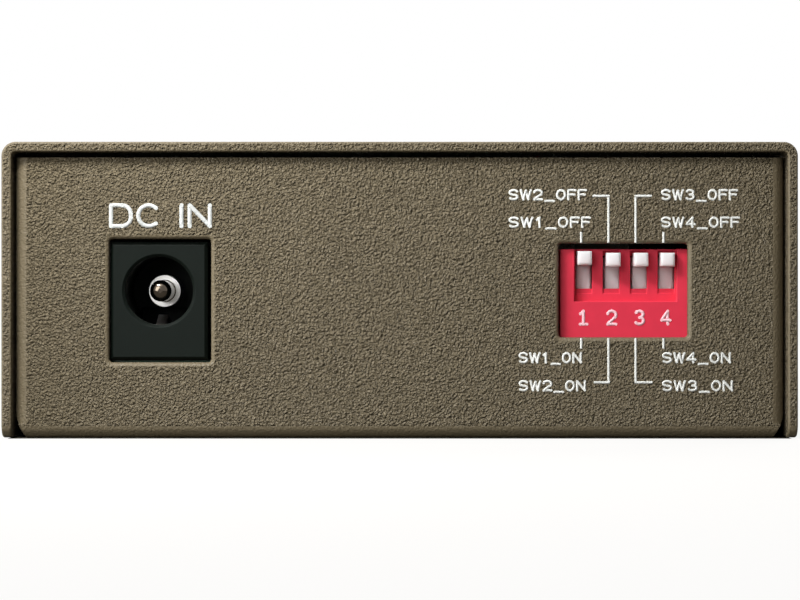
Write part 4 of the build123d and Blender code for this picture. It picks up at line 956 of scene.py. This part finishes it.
class GeometryRecipe:
    """A geometry node tree that turns a small guide mesh into a finished one."""

    turn_name = "turn"

    def __init__(self, name: str, sizes: dict[str, float | int]) -> None:
        """Makes the tree with its named inputs.

        Args:
            name: The name of the tree and of the piece that it makes.
            sizes: The value of each named input.
        """
        self.name = name
        self.tree = bpy.data.node_groups.new(name, "GeometryNodeTree")
        self.values = {}
        face = self.tree.interface
        face.new_socket(name="Geometry", in_out="INPUT", socket_type="NodeSocketGeometry")
        for size, value in sizes.items():
            kind = "NodeSocketInt" if isinstance(value, int) else "NodeSocketFloat"
            socket = face.new_socket(name=size, in_out="INPUT", socket_type=kind)
            self.values[socket.identifier] = value
        face.new_socket(name="Geometry", in_out="OUTPUT", socket_type="NodeSocketGeometry")
        self.graph = Graph(self.tree)
        self.given = self.graph.node("NodeGroupInput").outputs

    def close(self, geometry: Socket, material: bpy.types.Material) -> None:
        """Ends the tree in real, dressed geometry.

        Args:
            geometry: The socket that holds the shape.
            material: The material that it gets.
        """
        real = self.graph.put("GeometryNodeRealizeInstances", {0: geometry})
        inputs = {"Geometry": real, "Material": material}
        self.graph.node("NodeGroupOutput", {0: self.graph.put("GeometryNodeSetMaterial", inputs)})

    def scatter(self, shape: Socket, material: bpy.types.Material, **more: Socket) -> None:
        """Ends the tree in a copy of a shape on every point of the guide."""
        inputs = {0: self.given["Geometry"], "Instance": shape, **more}
        self.close(self.graph.put("GeometryNodeInstanceOnPoints", inputs), material)

    def bake(
        self,
        points: Sequence[Sequence[float]],
        edges: Sequence[tuple[int, int]] = (),
        stand: Matrix | None = None,
        turns: Sequence[Matrix] = (),
    ) -> bpy.types.Object:
        """Runs the tree over a guide and keeps the result as a plain mesh.

        Args:
            points: The guide's points.
            edges: The guide's edges, as pairs of points.
            stand: A matrix that puts the result in its place.
            turns: How the copy on each point is turned, for a tree that asks for it.

        Returns:
            The piece, with no modifier left on it.
        """
        guide = bpy.data.meshes.new(self.name)
        guide.from_pydata(points, edges, [])
        if turns:
            stored = guide.attributes.new(self.turn_name, "FLOAT_VECTOR", "POINT")
            for point, turn in zip(stored.data, turns):
                point.vector = Vector(turn.to_euler())
        source = added(f"{self.name}_guide", guide)
        modifier = source.modifiers.new("shape", "NODES")
        modifier.node_group = self.tree
        for key, value in self.values.items():
            modifier[key] = value
        graph = bpy.context.evaluated_depsgraph_get()
        mesh = bpy.data.meshes.new_from_object(source.evaluated_get(graph))
        source.modifiers.remove(modifier)
        bpy.data.objects.remove(source)
        mesh.name = self.name
        if stand is not None:
            mesh.transform(stand)
        return added(self.name, mesh)


def arc(
    middle_x: float, middle_y: float, wide: float, high: float, start: float, end: float
) -> Stroke:
    """Gives the points of an elliptic arc.

    Args:
        middle_x: The centre's place across.
        middle_y: The centre's place up.
        wide: Half the ellipse's width.
        high: Half the ellipse's height.
        start: The angle it starts at, in degrees.
        end: The angle it ends at, in degrees.

    Returns:
        The points from start to end.
    """
    steps = max(4, round(abs(end - start) / 15))
    angles = [math.radians(start + (end - start) * step / steps) for step in range(steps + 1)]
    return [(middle_x + wide * math.cos(a), middle_y + high * math.sin(a)) for a in angles]


def path(*points: Point) -> list[Stroke]:
    """Gives a straight stroke from each point to the next."""
    return [[start, end] for start, end in zip(points, points[1:])]


class Alphabet:
    """Single-stroke letters on a unit cap height, each as wide as it is told."""

    foot_share = 0.18
    bow_share = 0.42

    def letter(self, character: str, width: float, footed: bool = False) -> list[Stroke]:
        """Gives the strokes of one character.

        Args:
            character: A capital, a digit, an underscore or a space.
            width: The character's width as a share of its height.
            footed: Whether the digit 1 stands on a foot.

        Returns:
            The strokes, each a list of points.
        """
        half = width / 2
        bow = min(self.bow_share, half)
        stem, low = width * 0.72, -self.foot_share
        shapes = {
            " ": [],
            "_": path((0, low), (width, low)),
            "C": [arc(half, 0.5, half, 0.5, 48, 312)],
            "D": [
                *path((0, 0), (0, 1), (width - bow, 1)),
                arc(width - bow, 1 - bow, bow, bow, 90, 0),
                *path((width, 1 - bow), (width, bow)),
                arc(width - bow, bow, bow, bow, 0, -90),
                *path((width - bow, 0), (0, 0)),
            ],
            "F": [*path((0, 0), (0, 1), (width, 1)), *path((0, 0.52), (width * 0.85, 0.52))],
            "I": path((half, 0), (half, 1)),
            "N": path((0, 0), (0, 1), (width, 0), (width, 1)),
            "O": [arc(half, 0.5, half, 0.5, 90, 270), arc(half, 0.5, half, 0.5, 90, -90)],
            "S": [arc(half, 0.75, half, 0.25, 30, 270), arc(half, 0.25, half, 0.25, 90, -150)],
            "W": path((0, 1), (width * 0.25, 0), (half, 0.95), (width * 0.75, 0), (width, 1)),
            "1": path((half * 0.35, 0.78), (half * 1.1, 1), (half * 1.1, 0)),
            "2": [
                arc(half, 0.71, half, 0.29, 165, -38),
                *path((half * 1.79, 0.53), (0, 0), (width, 0)),
            ],
            "3": [
                arc(half, 0.755, half * 0.9, 0.245, 150, -90), arc(half, 0.26, half, 0.26, 90, -150)
            ],
            "4": path((stem, 0), (stem, 1), (0, 0.3), (width, 0.3)),
        }
        foot = path((half * 0.3, 0), (half * 1.9, 0)) if footed and character == "1" else []
        return shapes[character] + foot

    def line(
        self, text: str, left: float, foot: float, right: float, cap: float, style: "LetterStyle"
    ) -> list[Stroke]:
        """Gives the strokes of a line of text that fills a width.

        Args:
            text: The text.
            left: Where the first letter starts.
            foot: Where the letters stand.
            right: Where the last letter ends.
            cap: The height of the letters.
            style: The proportions of the letters.

        Returns:
            The strokes in the same units as the places.
        """
        shares = [style.narrow.get(letter, 1.0) for letter in text]
        room = right - left
        unit = room / (sum(shares) + style.gap_share * (len(text) - 1))
        strokes = []
        start = left
        for letter, share in zip(text, shares):
            for stroke in self.letter(letter, unit * share / cap, style.footed):
                strokes.append([(start + x * cap, foot + y * cap) for x, y in stroke])
            start += unit * (share + style.gap_share)
        return strokes


@dataclass(frozen=True)
class LetterStyle:
    """Proportions of a line of lettering."""

    gap_share: float
    narrow: dict[str, float]
    footed: bool = False


class LineEnd(Enum):
    """How a printed stroke ends: the number of sides of the dot at its end."""

    ROUND = 12
    SQUARE = 4


@dataclass(frozen=True)
class PhotoFrame:
    """Places in the photograph, turned into places on the back of the case."""

    middle_x: float = 399.65
    middle_y: float = 300.0
    middle_z: float = 12.7 * MM
    rim_scale: float = 10.92 / MM
    camera_distance: float = 250.0 * MM

    def scale(self, depth: float) -> float:
        """Gives the pixels in a metre on a plane behind the rim of the case."""
        return self.rim_scale * self.camera_distance / (self.camera_distance + depth)

    def across(self, pixel: float, depth: float) -> float:
        """Gives the x of a pixel column on a plane that deep behind the rim."""
        return (pixel - self.middle_x) / self.scale(depth)

    def up(self, pixel: float, depth: float) -> float:
        """Gives the z of a pixel row on a plane that deep behind the rim."""
        return self.middle_z + (self.middle_y - pixel) / self.scale(depth)


@dataclass(frozen=True)
class Callout:
    """A line of lettering, by the pixels that it fills in the photograph."""

    text: str
    left: float
    right: float
    cap_row: float
    foot_row: float


@dataclass
class Lettering:
    """White print on the back panel and the digits on the switch.

    The columns and rows are pixels of the photograph. Each pair of leader rows starts at
    the callout's end of the line and stops at the switch.
    """

    photo: PhotoFrame = field(default_factory=PhotoFrame)
    ink_thickness: float = 0.02 * MM
    dot_excess: float = 1.6
    level_count: int = 4
    level_step: float = 0.002 * MM
    word_stroke: float = 0.38 * MM
    callout_stroke: float = 0.215 * MM
    leader_stroke: float = 0.22 * MM
    digit_stroke: float = 0.27 * MM
    word: Callout = Callout("DC IN", 109.0, 212.0, 203.2, 228.2)
    callouts: tuple[Callout, ...] = (
        Callout("SW2_OFF", 508.5, 587, 189, 200.5),
        Callout("SW1_OFF", 508.5, 591, 216.5, 228),
        Callout("SW3_OFF", 661, 738, 189, 200.5),
        Callout("SW4_OFF", 661, 740, 216.5, 228),
        Callout("SW1_ON", 518.5, 582, 352, 363.5),
        Callout("SW2_ON", 518.5, 586, 380, 391.5),
        Callout("SW4_ON", 662, 731, 352, 363.5),
        Callout("SW3_ON", 662, 733, 380, 391.5),
    )
    leader_columns: tuple[float, ...] = (581.3, 608.6, 635.7, 663.6)
    outer_rows: tuple[Point, ...] = ((232.0, 242.6), (348.5, 338.0))
    inner_rows: tuple[Point, ...] = ((196.0, 242.6), (382.5, 338.0))
    turn_columns: tuple[Point, ...] = ((592.5, 651.8), (593.8, 652.3))
    digit_rows: Point = (309.6, 325.6)
    digit_width: float = 0.78 * MM
    digit_shift: float = -0.12 * MM

    def print_recipe(self, name: str, width: float, end: LineEnd, ink: Finish) -> GeometryRecipe:
        """Makes the tree that prints a bar along each edge, and dots at the free ends.

        Args:
            name: The piece's name.
            width: How wide a stroke is.
            end: How a stroke ends.
            ink: The finish of the ink.

        Returns:
            The recipe, ready to bake.
        """
        sizes = {
            "Stroke Width": width,
            "Ink Thickness": self.ink_thickness,
            "Dot Sides": end.value,
            "Merge Distance": width / 4,
        }
        recipe = GeometryRecipe(name, sizes)
        graph, given = recipe.graph, recipe.given
        line = graph.put("GeometryNodeMeshToCurve", {0: given["Geometry"]})
        level = graph.put("GeometryNodeSetCurveNormal", {0: line}, mode="Z_UP")
        sides = {"Width": given["Stroke Width"], "Height": given["Ink Thickness"]}
        section = graph.put("GeometryNodeCurvePrimitiveQuadrilateral", sides)
        swept = {"Curve": level, "Profile Curve": section, "Fill Caps": True}
        parts = [graph.put("GeometryNodeCurveToMesh", swept)]
        if end is LineEnd.ROUND:
            disc = {
                "Vertices": given["Dot Sides"],
                "Radius": graph.times(given["Stroke Width"], 0.5),
                "Depth": graph.times(given["Ink Thickness"], self.dot_excess),
            }
            dot = graph.put("GeometryNodeMeshCylinder", disc)
            neighbours = graph.put("GeometryNodeInputMeshVertexNeighbors")
            free = {
                "Mesh": given["Geometry"], "Selection": graph.math("COMPARE", neighbours, 1.0, 0.1)
            }
            ends = {
                0: graph.put("GeometryNodeMeshToPoints", free), "Distance": given["Merge Distance"]
            }
            merged = graph.put("GeometryNodeMergeByDistance", ends)
            parts.append(graph.put("GeometryNodeInstanceOnPoints", {0: merged, "Instance": dot}))
        joined = graph.node("GeometryNodeJoinGeometry")
        for part in parts:
            recipe.tree.links.new(part, joined.inputs[0])
        recipe.close(joined.outputs[0], ink.material())
        return recipe

    def printed(
        self,
        name: str,
        strokes: list[Stroke],
        width: float,
        end: LineEnd,
        surface_y: float,
        ink: Finish,
    ) -> bpy.types.Object:
        """Prints strokes on a plane that faces the back.

        Args:
            name: The piece's name.
            strokes: The strokes, in x and z.
            width: How wide a stroke is.
            end: How a stroke ends.
            surface_y: The y of the surface under the ink.
            ink: The finish of the ink.

        Returns:
            The printed piece.
        """
        points, edges = [], []
        for number, stroke in enumerate(strokes):
            level = number % self.level_count * self.level_step
            first = len(points)
            points += [(x, z, level) for x, z in stroke]
            edges += [(first + step, first + step + 1) for step in range(len(stroke) - 1)]
        upright = Matrix.Rotation(math.radians(90), 4, "X")
        stand = Matrix.Translation((0, surface_y - self.ink_thickness / 2, 0)) @ upright
        return self.print_recipe(name, width, end, ink).bake(points, edges, stand)

    def text(
        self, callout: Callout, depth: float, style: LetterStyle, stroke: float
    ) -> list[Stroke]:
        """Gives the strokes of a line of lettering in its place on the panel.

        Args:
            callout: The line and its pixels.
            depth: How far the surface lies behind the rim.
            style: The proportions of the letters.
            stroke: The width of a stroke, which the pixels take in.

        Returns:
            The strokes in x and z.
        """
        foot = self.photo.up(callout.foot_row, depth) + stroke / 2
        cap = self.photo.up(callout.cap_row, depth) - stroke / 2 - foot
        left = self.photo.across(callout.left, depth) + stroke / 2
        right = self.photo.across(callout.right, depth) - stroke / 2
        return Alphabet().line(callout.text, left, foot, right, cap, style)

    def leaders(self, depth: float) -> list[Stroke]:
        """Gives the lines that join the callouts to the switch.

        Args:
            depth: How far the panel lies behind the rim.

        Returns:
            The lines in x and z, lapped at their corners.
        """
        lap = self.leader_stroke / 2
        columns = [self.photo.across(column, depth) for column in self.leader_columns]
        lines = [
            [(columns[way], self.photo.up(row, depth)) for row in rows]
            for way in (0, 3)
            for rows in self.outer_rows
        ]
        for way, side in ((1, -1), (2, 1)):
            x = columns[way]
            for (turn_row, end_row), turns, inward in zip(
                self.inner_rows, self.turn_columns, (-1, 1)
            ):
                turn_x = self.photo.across(turns[way - 1], depth)
                turn_z = self.photo.up(turn_row, depth)
                lines.append([(x, turn_z + inward * lap), (x, self.photo.up(end_row, depth))])
                lines.append([(x - side * lap, turn_z), (turn_x, turn_z)])
        return lines

    def digits(self, depth: float) -> list[Stroke]:
        """Gives the numbers under the four sliders.

        Args:
            depth: How far the switch's face lies behind the rim.

        Returns:
            The strokes in x and z.
        """
        style = LetterStyle(0.0, {}, footed=True)
        foot = self.photo.up(self.digit_rows[1], depth) + self.digit_stroke / 2
        cap = self.photo.up(self.digit_rows[0], depth) - self.digit_stroke / 2 - foot
        strokes = []
        for way in range(1, len(self.leader_columns) + 1):
            left = middle(f"switch_slider_{way}").x + self.digit_shift - self.digit_width / 2
            strokes += Alphabet().line(str(way), left, foot, left + self.digit_width, cap, style)
        return strokes

    def build(self) -> None:
        """Prints the panel and the switch."""
        rim_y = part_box("cover_shell")[0].y
        panel_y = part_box("base_tray")[0].y
        face_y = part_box("switch_cover")[0].y
        depth = panel_y - rim_y
        wide = LetterStyle(0.3, {"D": 0.8, "C": 0.86, "I": 0.06, "N": 0.82, " ": 0.26})
        narrow = LetterStyle(0.42, {"1": 0.8, "_": 1.1, "W": 1.25, "F": 0.9})
        word = self.text(self.word, depth, wide, self.word_stroke)
        callouts = sum(
            (self.text(line, depth, narrow, self.callout_stroke) for line in self.callouts), []
        )
        digits = self.digits(face_y - rim_y)
        round_end, square_end = LineEnd.ROUND, LineEnd.SQUARE
        for row in (
            ("socket_word", word, self.word_stroke, round_end, panel_y, INK_WORD_SHADED),
            ("switch_callouts", callouts, self.callout_stroke, round_end, panel_y, INK_WHITE),
            (
                "callout_leaders",
                self.leaders(depth),
                self.leader_stroke,
                square_end,
                panel_y,
                INK_WHITE,
            ),
            ("switch_digits", digits, self.digit_stroke, round_end, face_y, INK_ROSE),
        ):
            finished(self.printed(*row), CASE_BODY)


@dataclass
class Subassembly:
    """A group of CAD nodes that take the finishes of their slots."""

    nodes: tuple[str, ...]
    numbered: tuple[tuple[str, int], ...] = ()

    def build(self) -> None:
        """Dresses the nodes, and those that go by a name and a number."""
        rows = [
            f"{name}_{number}" for name, count in self.numbered for number in range(1, count + 1)
        ]
        for node in (*self.nodes, *rows):
            dress(node)


@dataclass
class Fastener:
    """The thread of a row of screws, cut as a helix round each shank."""

    name: str
    slot: str
    shank_radius: float
    length: float
    pitch: float = 0.5 * MM
    ridge: float = 0.09 * MM
    ridge_sides: int = 3
    turn_steps: int = 18

    def build(self, places: list[Vector], turns: list[Matrix]) -> bpy.types.Object:
        """Winds the thread round every screw.

        Args:
            places: Where each thread starts.
            turns: How each screw is turned from standing up.

        Returns:
            The threads, as one piece.
        """
        sizes = {
            "Shank Radius": self.shank_radius,
            "Thread Length": self.length,
            "Turns": self.length / self.pitch,
            "Ridge Height": self.ridge,
            "Steps In A Turn": self.turn_steps,
        }
        recipe = GeometryRecipe(self.name, sizes)
        graph, given = recipe.graph, recipe.given
        winding = {
            "Resolution": given["Steps In A Turn"],
            "Rotations": given["Turns"],
            "Start Radius": given["Shank Radius"],
            "End Radius": given["Shank Radius"],
            "Height": given["Thread Length"],
        }
        section = {"Resolution": self.ridge_sides, "Radius": given["Ridge Height"]}
        swept = {
            "Curve": graph.put("GeometryNodeCurveSpiral", winding),
            "Profile Curve": graph.put("GeometryNodeCurvePrimitiveCircle", section),
            "Fill Caps": True,
        }
        thread = graph.put("GeometryNodeCurveToMesh", swept)
        name = {"Name": recipe.turn_name}
        turn = graph.put("GeometryNodeInputNamedAttribute", name, data_type="FLOAT_VECTOR")
        recipe.scatter(thread, FINISHES[self.slot].material(), Rotation=turn)
        return finished(recipe.bake(places, turns=turns), CASE_BODY)


@dataclass
class Case(Subassembly):
    """Folded cover and tray, held together by four screws."""

    nodes: tuple[str, ...] = ("cover_shell", "base_tray", "cover_screws")
    thread_start: float = 1.9 * MM
    shank_radius: float = 1.25 * MM
    thread_length: float = 2.5 * MM

    def build(self) -> None:
        """Dresses the folded sheets and cuts the threads of the cover screws."""
        super().build()
        places, turns = [], []
        for low, high in islands("cover_screws"):
            centre = (low + high) / 2
            inward = -math.copysign(1, centre.x)
            head_x = low.x if inward > 0 else high.x
            places.append(Vector((head_x + inward * self.thread_start, centre.y, centre.z)))
            turns.append(Matrix.Rotation(math.radians(inward * 90), 4, "Y"))
        threads = Fastener(
            "cover_screw_threads", "screw_steel", self.shank_radius, self.thread_length
        )
        threads.build(places, turns)


@dataclass
class CircuitBoard(Subassembly):
    """The board, its posts and screws, what is soldered to it and its solder."""

    nodes: tuple[str, ...] = (
        "circuit_board", "board_posts", "board_screws", "converter_chip", "converter_chip_leads",
        "line_transformer", "line_transformer_leads", "memory_chip", "memory_chip_leads",
        "crystal_can", "power_coil", "regulator_body", "regulator_leads", "chip_components",
    )
    numbered: tuple[tuple[str, int], ...] = (("capacitor", 3),)
    soldered: tuple[str, ...] = (
        "switch_terminals", "network_socket_contacts", "network_socket_shield", "fibre_pins",
        "fibre_housing", "lamp_leads", "power_socket_leaf", "power_socket_pin",
        "power_socket_shunt",
    )
    joint_radius: float = 0.7 * MM
    joint_tip_radius: float = 0.32 * MM
    joint_height: float = 0.8 * MM
    joint_sides: int = 12
    cap_share: float = 0.22
    cap_proud: float = 0.02 * MM
    slack: float = 0.01 * MM

    def solder_joints(self) -> None:
        """Sets a cone of solder round every lead that passes through the board."""
        sizes = {
            "Foot Radius": self.joint_radius,
            "Tip Radius": self.joint_tip_radius,
            "Joint Height": self.joint_height,
            "Sides": self.joint_sides,
        }
        recipe = GeometryRecipe("solder_joints", sizes)
        given = recipe.given
        cone = {
            "Vertices": given["Sides"],
            "Radius Top": given["Foot Radius"],
            "Radius Bottom": given["Tip Radius"],
            "Depth": given["Joint Height"],
        }
        recipe.scatter(recipe.graph.put("GeometryNodeMeshCone", cone), SOLDER.material())
        foot_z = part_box("circuit_board")[0].z - self.joint_height
        points = []
        for node in self.soldered:
            copy = merged_copy(node)
            for low, high in flat_patches(copy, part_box(node)[0].z, self.slack):
                points.append(((low.x + high.x) / 2, (low.y + high.y) / 2, foot_z))
            copy.free()
        finished(recipe.bake(points), CASE_BODY)

    def end_caps(self) -> None:
        """Wraps a tinned cap round both ends of every small component."""
        parts = islands("chip_components")
        size = parts[0][1] - parts[0][0]
        cap_length = size.x * self.cap_share
        sizes = {
            "Cap Length": cap_length + self.cap_proud,
            "Cap Width": size.y + 2 * self.cap_proud,
            "Cap Height": size.z + self.cap_proud,
        }
        recipe = GeometryRecipe("component_end_caps", sizes)
        extent = recipe.graph.put(
            "ShaderNodeCombineXYZ", dict(enumerate(recipe.given[key] for key in sizes))
        )
        cap = recipe.graph.put("GeometryNodeMeshCube", {"Size": extent})
        recipe.scatter(cap, SOLDER.material())
        reach = (size.x - cap_length + self.cap_proud) / 2
        points = []
        for low, high in parts:
            x, y, z = (low + high) / 2
            points += [(x + side * reach, y, z + self.cap_proud / 2) for side in (-1, 1)]
        finished(recipe.bake(points), CASE_BODY)

    def build(self) -> None:
        """Dresses the board and adds its solder and the components' caps."""
        super().build()
        self.solder_joints()
        self.end_caps()


@dataclass
class PowerSocket(Subassembly):
    """Coaxial socket: housing, pin, leaf and shunt."""

    nodes: tuple[str, ...] = ("power_socket_housing", "power_socket_shunt")
    # Painted reflection: the pin's dark colour stands in for the dark bore that its polished tip
    # mirrors.
    pin_colour: Colour = (0.16, 0.13, 0.1)
    pin_roughness: float = 0.12
    pin_radius: float = 1.06 * MM
    tip_length: float = 1.5 * MM

    def build(self) -> None:
        """Dresses the socket: the pin is polished up to its collar and its colour holds a painted
        reflection; the leaf's colour holds painted shade.
        """
        super().build()
        low, high = self.tip()
        axis = ((low.x + high.x) / 2 / MM, (low.z + high.z) / 2 / MM)
        polish = TurnedPin(
            "polished_pin", self.pin_colour, self.pin_roughness, axis, self.pin_radius / MM
        )
        dress("power_socket_pin", polish)
        dress("power_socket_leaf", SHADED_LEAF_METAL)

    def tip(self) -> Box:
        """Gives the box of the pin's front end, whose middle lies on the axis."""
        copy = merged_copy("power_socket_pin")
        places = [corner.co.copy() for corner in copy.verts]
        copy.free()
        front = min(place.y for place in places)
        return corner_box([place for place in places if place.y < front + self.tip_length])


@dataclass
class SlideSwitch(Subassembly):
    """Four-way slide switch with its sliders and their contacts."""

    nodes: tuple[str, ...] = ("switch_cover", "switch_base", "switch_terminals")
    numbered: tuple[tuple[str, int], ...] = (("switch_slider", 4), ("switch_contact", 4))


@dataclass
class NetworkSocket(Subassembly):
    """Shielded network socket with its eight spring contacts."""

    nodes: tuple[str, ...] = (
        "network_socket_housing", "network_socket_shield", "network_socket_contacts"
    )


@dataclass
class FibreTransceiver(Subassembly):
    """Duplex transceiver with its latches, sleeves and optical cans."""

    nodes: tuple[str, ...] = (
        "fibre_housing", "fibre_lid", "fibre_latches", "transmit_sleeve", "receive_sleeve",
        "transmit_can", "receive_can", "fibre_board", "fibre_pins",
    )


@dataclass
class IndicatorLamps(Subassembly):
    """Six lamps in their holder, with their leads."""

    nodes: tuple[str, ...] = ("lamp_holder", "lamp_leads")
    numbered: tuple[tuple[str, int], ...] = (("lamp", 6),)


@dataclass(frozen=True)
class SoftBox:
    """An area lamp that stands off a point of the object in a given direction."""

    name: str
    toward: tuple[float, float, float]
    distance: float
    width: float
    height: float
    level: float

    def build(self, aim: Vector) -> None:
        """Hangs the lamp and points it.

        Args:
            aim: The point that it shines on, where its light has the lamp's level.
        """
        light = bpy.data.lights.new(self.name, "AREA")
        light.shape = "RECTANGLE"
        light.size = self.width
        light.size_y = self.height
        light.energy = self.level * (math.pi * self.distance) ** 2
        lamp = added(self.name, light)
        away = Vector(self.toward).normalized()
        lamp.location = aim + away * self.distance
        lamp.rotation_euler = away.to_track_quat("Z", "Y").to_euler()
        log.info("lamp %s at %s", self.name, tuple(round(part, 3) for part in lamp.location))


@dataclass
class Studio:
    """Camera, lamps, world and floor."""

    photo: PhotoFrame = field(default_factory=PhotoFrame)
    image_width: float = 800.0
    sensor_width: float = 36.0
    clip_near: float = 0.01
    clip_far: float = 20.0
    world_level: float = 0.06
    dark_side: float = 0.55
    dark_from: float = -0.75
    floor_size: float = 6.0
    floor_drop: float = 0.02 * MM
    foot_inset: float = 0.5 * MM
    floor_colour: Colour = (0.1, 0.093, 0.08)
    floor_mirror: float = 0.1
    near_glow: float = 0.88
    far_glow: float = 0.93
    glow_start: float = 0.12
    glow_end: float = 0.5
    lamps: tuple[SoftBox, ...] = (
        SoftBox("key_strip", (-50.0, -54.0, 71.3), 0.1024, 0.035, 0.014, 1.18),
        SoftBox("front_softbox", (-0.5, -1.0, 0.3), 0.4, 0.2, 0.2, 0.42),
        SoftBox("overhead_softbox", (-0.25, -0.75, 1.0), 0.4, 0.3, 0.2, 0.15),
        SoftBox("left_softbox", (-1.0, -0.12, 0.1), 0.35, 0.1, 0.2, 0.6),
        SoftBox("far_softbox", (0.5, 1.0, 0.7), 0.5, 0.3, 0.3, 0.6),
    )

    def camera(self) -> None:
        """Sets the camera square on the back, as in the photograph."""
        data = bpy.data.cameras.new("photo_camera")
        data.sensor_width = self.sensor_width
        pixels_deep = self.photo.camera_distance * self.photo.rim_scale
        data.lens = self.sensor_width * pixels_deep / self.image_width
        data.clip_start = self.clip_near
        data.clip_end = self.clip_far
        camera = added("photo_camera", data)
        rim_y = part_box("cover_shell")[0].y
        centre_pixel = self.image_width / 2
        shift = (centre_pixel - self.photo.middle_x) / self.photo.rim_scale
        camera.location = (shift, rim_y - self.photo.camera_distance, self.photo.middle_z)
        camera.rotation_euler = (math.radians(90), 0, 0)
        bpy.context.scene.camera = camera

    def direct_rays(self, graph: Graph, mirrored: object = 1.0) -> Socket:
        """Gives how much of the background itself each kind of ray sees.

        Args:
            graph: The graph of the world or the floor.
            mirrored: How much of it metal and glass show.

        Returns:
            A socket that is 1 for camera rays, and 0 for the rays that only light.
        """
        path = graph.node("ShaderNodeLightPath").outputs
        bounced = graph.math("MAXIMUM", path["Is Glossy Ray"], path["Is Transmission Ray"])
        return graph.math("MAXIMUM", path["Is Camera Ray"], graph.times(bounced, mirrored))

    def world(self) -> None:
        """Makes the world white to look at, dark behind the camera and grey as a light."""
        world = bpy.data.worlds.new("studio_world")
        graph = emptied(world)
        direction = graph.node("ShaderNodeTexCoord").outputs["Generated"]
        forward = graph.node("ShaderNodeSeparateXYZ", {0: direction}).outputs[1]
        mirrored = graph.span(forward, self.dark_from, 0.0, self.dark_side)
        light = graph.put("ShaderNodeBackground", {"Color": WHITE, "Strength": self.world_level})
        seen = graph.put("ShaderNodeBackground", {"Color": WHITE, "Strength": 1.0})
        share = self.direct_rays(graph, mirrored)
        both = graph.put("ShaderNodeMixShader", {0: share, 1: light, 2: seen})
        graph.node("ShaderNodeOutputWorld", {"Surface": both})
        bpy.context.scene.world = world

    def beyond_case(self, graph: Graph, place: Socket) -> Socket:
        """Gives a mask of the floor that the case doesn't stand on.

        Args:
            graph: The graph of the floor.
            place: The place on the floor, in metres.

        Returns:
            A socket that is 0 under the case and 1 elsewhere.
        """
        low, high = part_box("cover_shell")
        axes = graph.node("ShaderNodeSeparateXYZ", {0: place}).outputs
        past_side = graph.math(
            "GREATER_THAN", graph.math("ABSOLUTE", axes[0]), high.x - self.foot_inset
        )
        past_end = graph.math(
            "GREATER_THAN", graph.math("ABSOLUTE", axes[1]), high.y - self.foot_inset
        )
        return graph.math("MAXIMUM", past_side, past_end)

    def floor(self) -> None:
        """Lays a pale floor that runs out to white and keeps the object's shadow."""
        half = self.floor_size / 2
        mesh = bpy.data.meshes.new("studio_floor")
        corners = [
            (x * half, y * half, -self.floor_drop) for x, y in ((-1, -1), (1, -1), (1, 1), (-1, 1))
        ]
        mesh.from_pydata(corners, [], [(0, 1, 2, 3)])
        material = bpy.data.materials.new("studio_floor")
        graph = emptied(material)
        place = graph.node("ShaderNodeTexCoord").outputs["Object"]
        reach = graph.node("ShaderNodeVectorMath", {0: place}, operation="LENGTH").outputs["Value"]
        glow = graph.span(reach, self.glow_start, self.glow_end, self.near_glow, self.far_glow)
        # Painted shadow: the glow is cut out under the case, so the floor that shows through there
        # is dark.
        open_floor = graph.times(glow, self.beyond_case(graph, place))
        strength = graph.times(open_floor, self.direct_rays(graph, self.floor_mirror))
        matt = graph.put("ShaderNodeBsdfDiffuse", {"Color": self.floor_colour})
        lit = graph.put("ShaderNodeEmission", {"Color": WHITE, "Strength": strength})
        both = graph.put("ShaderNodeAddShader", {0: matt, 1: lit})
        graph.node("ShaderNodeOutputMaterial", {"Surface": both})
        mesh.materials.append(material)
        floor = added("studio_floor", mesh)

    def build(self) -> None:
        """Sets up the whole studio."""
        bpy.context.scene.view_settings.view_transform = "Standard"
        self.camera()
        self.world()
        self.floor()
        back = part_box("base_tray")
        aim = Vector(((back[0].x + back[1].x) / 2, back[0].y, self.photo.middle_z))
        for lamp in self.lamps:
            lamp.build(aim)


def main() -> None:
    """Builds every sub-assembly in order and reports it."""
    logging.basicConfig(level=logging.INFO, format="%(name)s: %(message)s")
    parts = (
        Studio(),
        Case(),
        CircuitBoard(),
        PowerSocket(),
        SlideSwitch(),
        NetworkSocket(),
        FibreTransceiver(),
        IndicatorLamps(),
        Lettering(),
    )
    for part in parts:
        log.info("building %s", type(part).__name__)
        part.build()


if __name__ == "__main__":
    main()
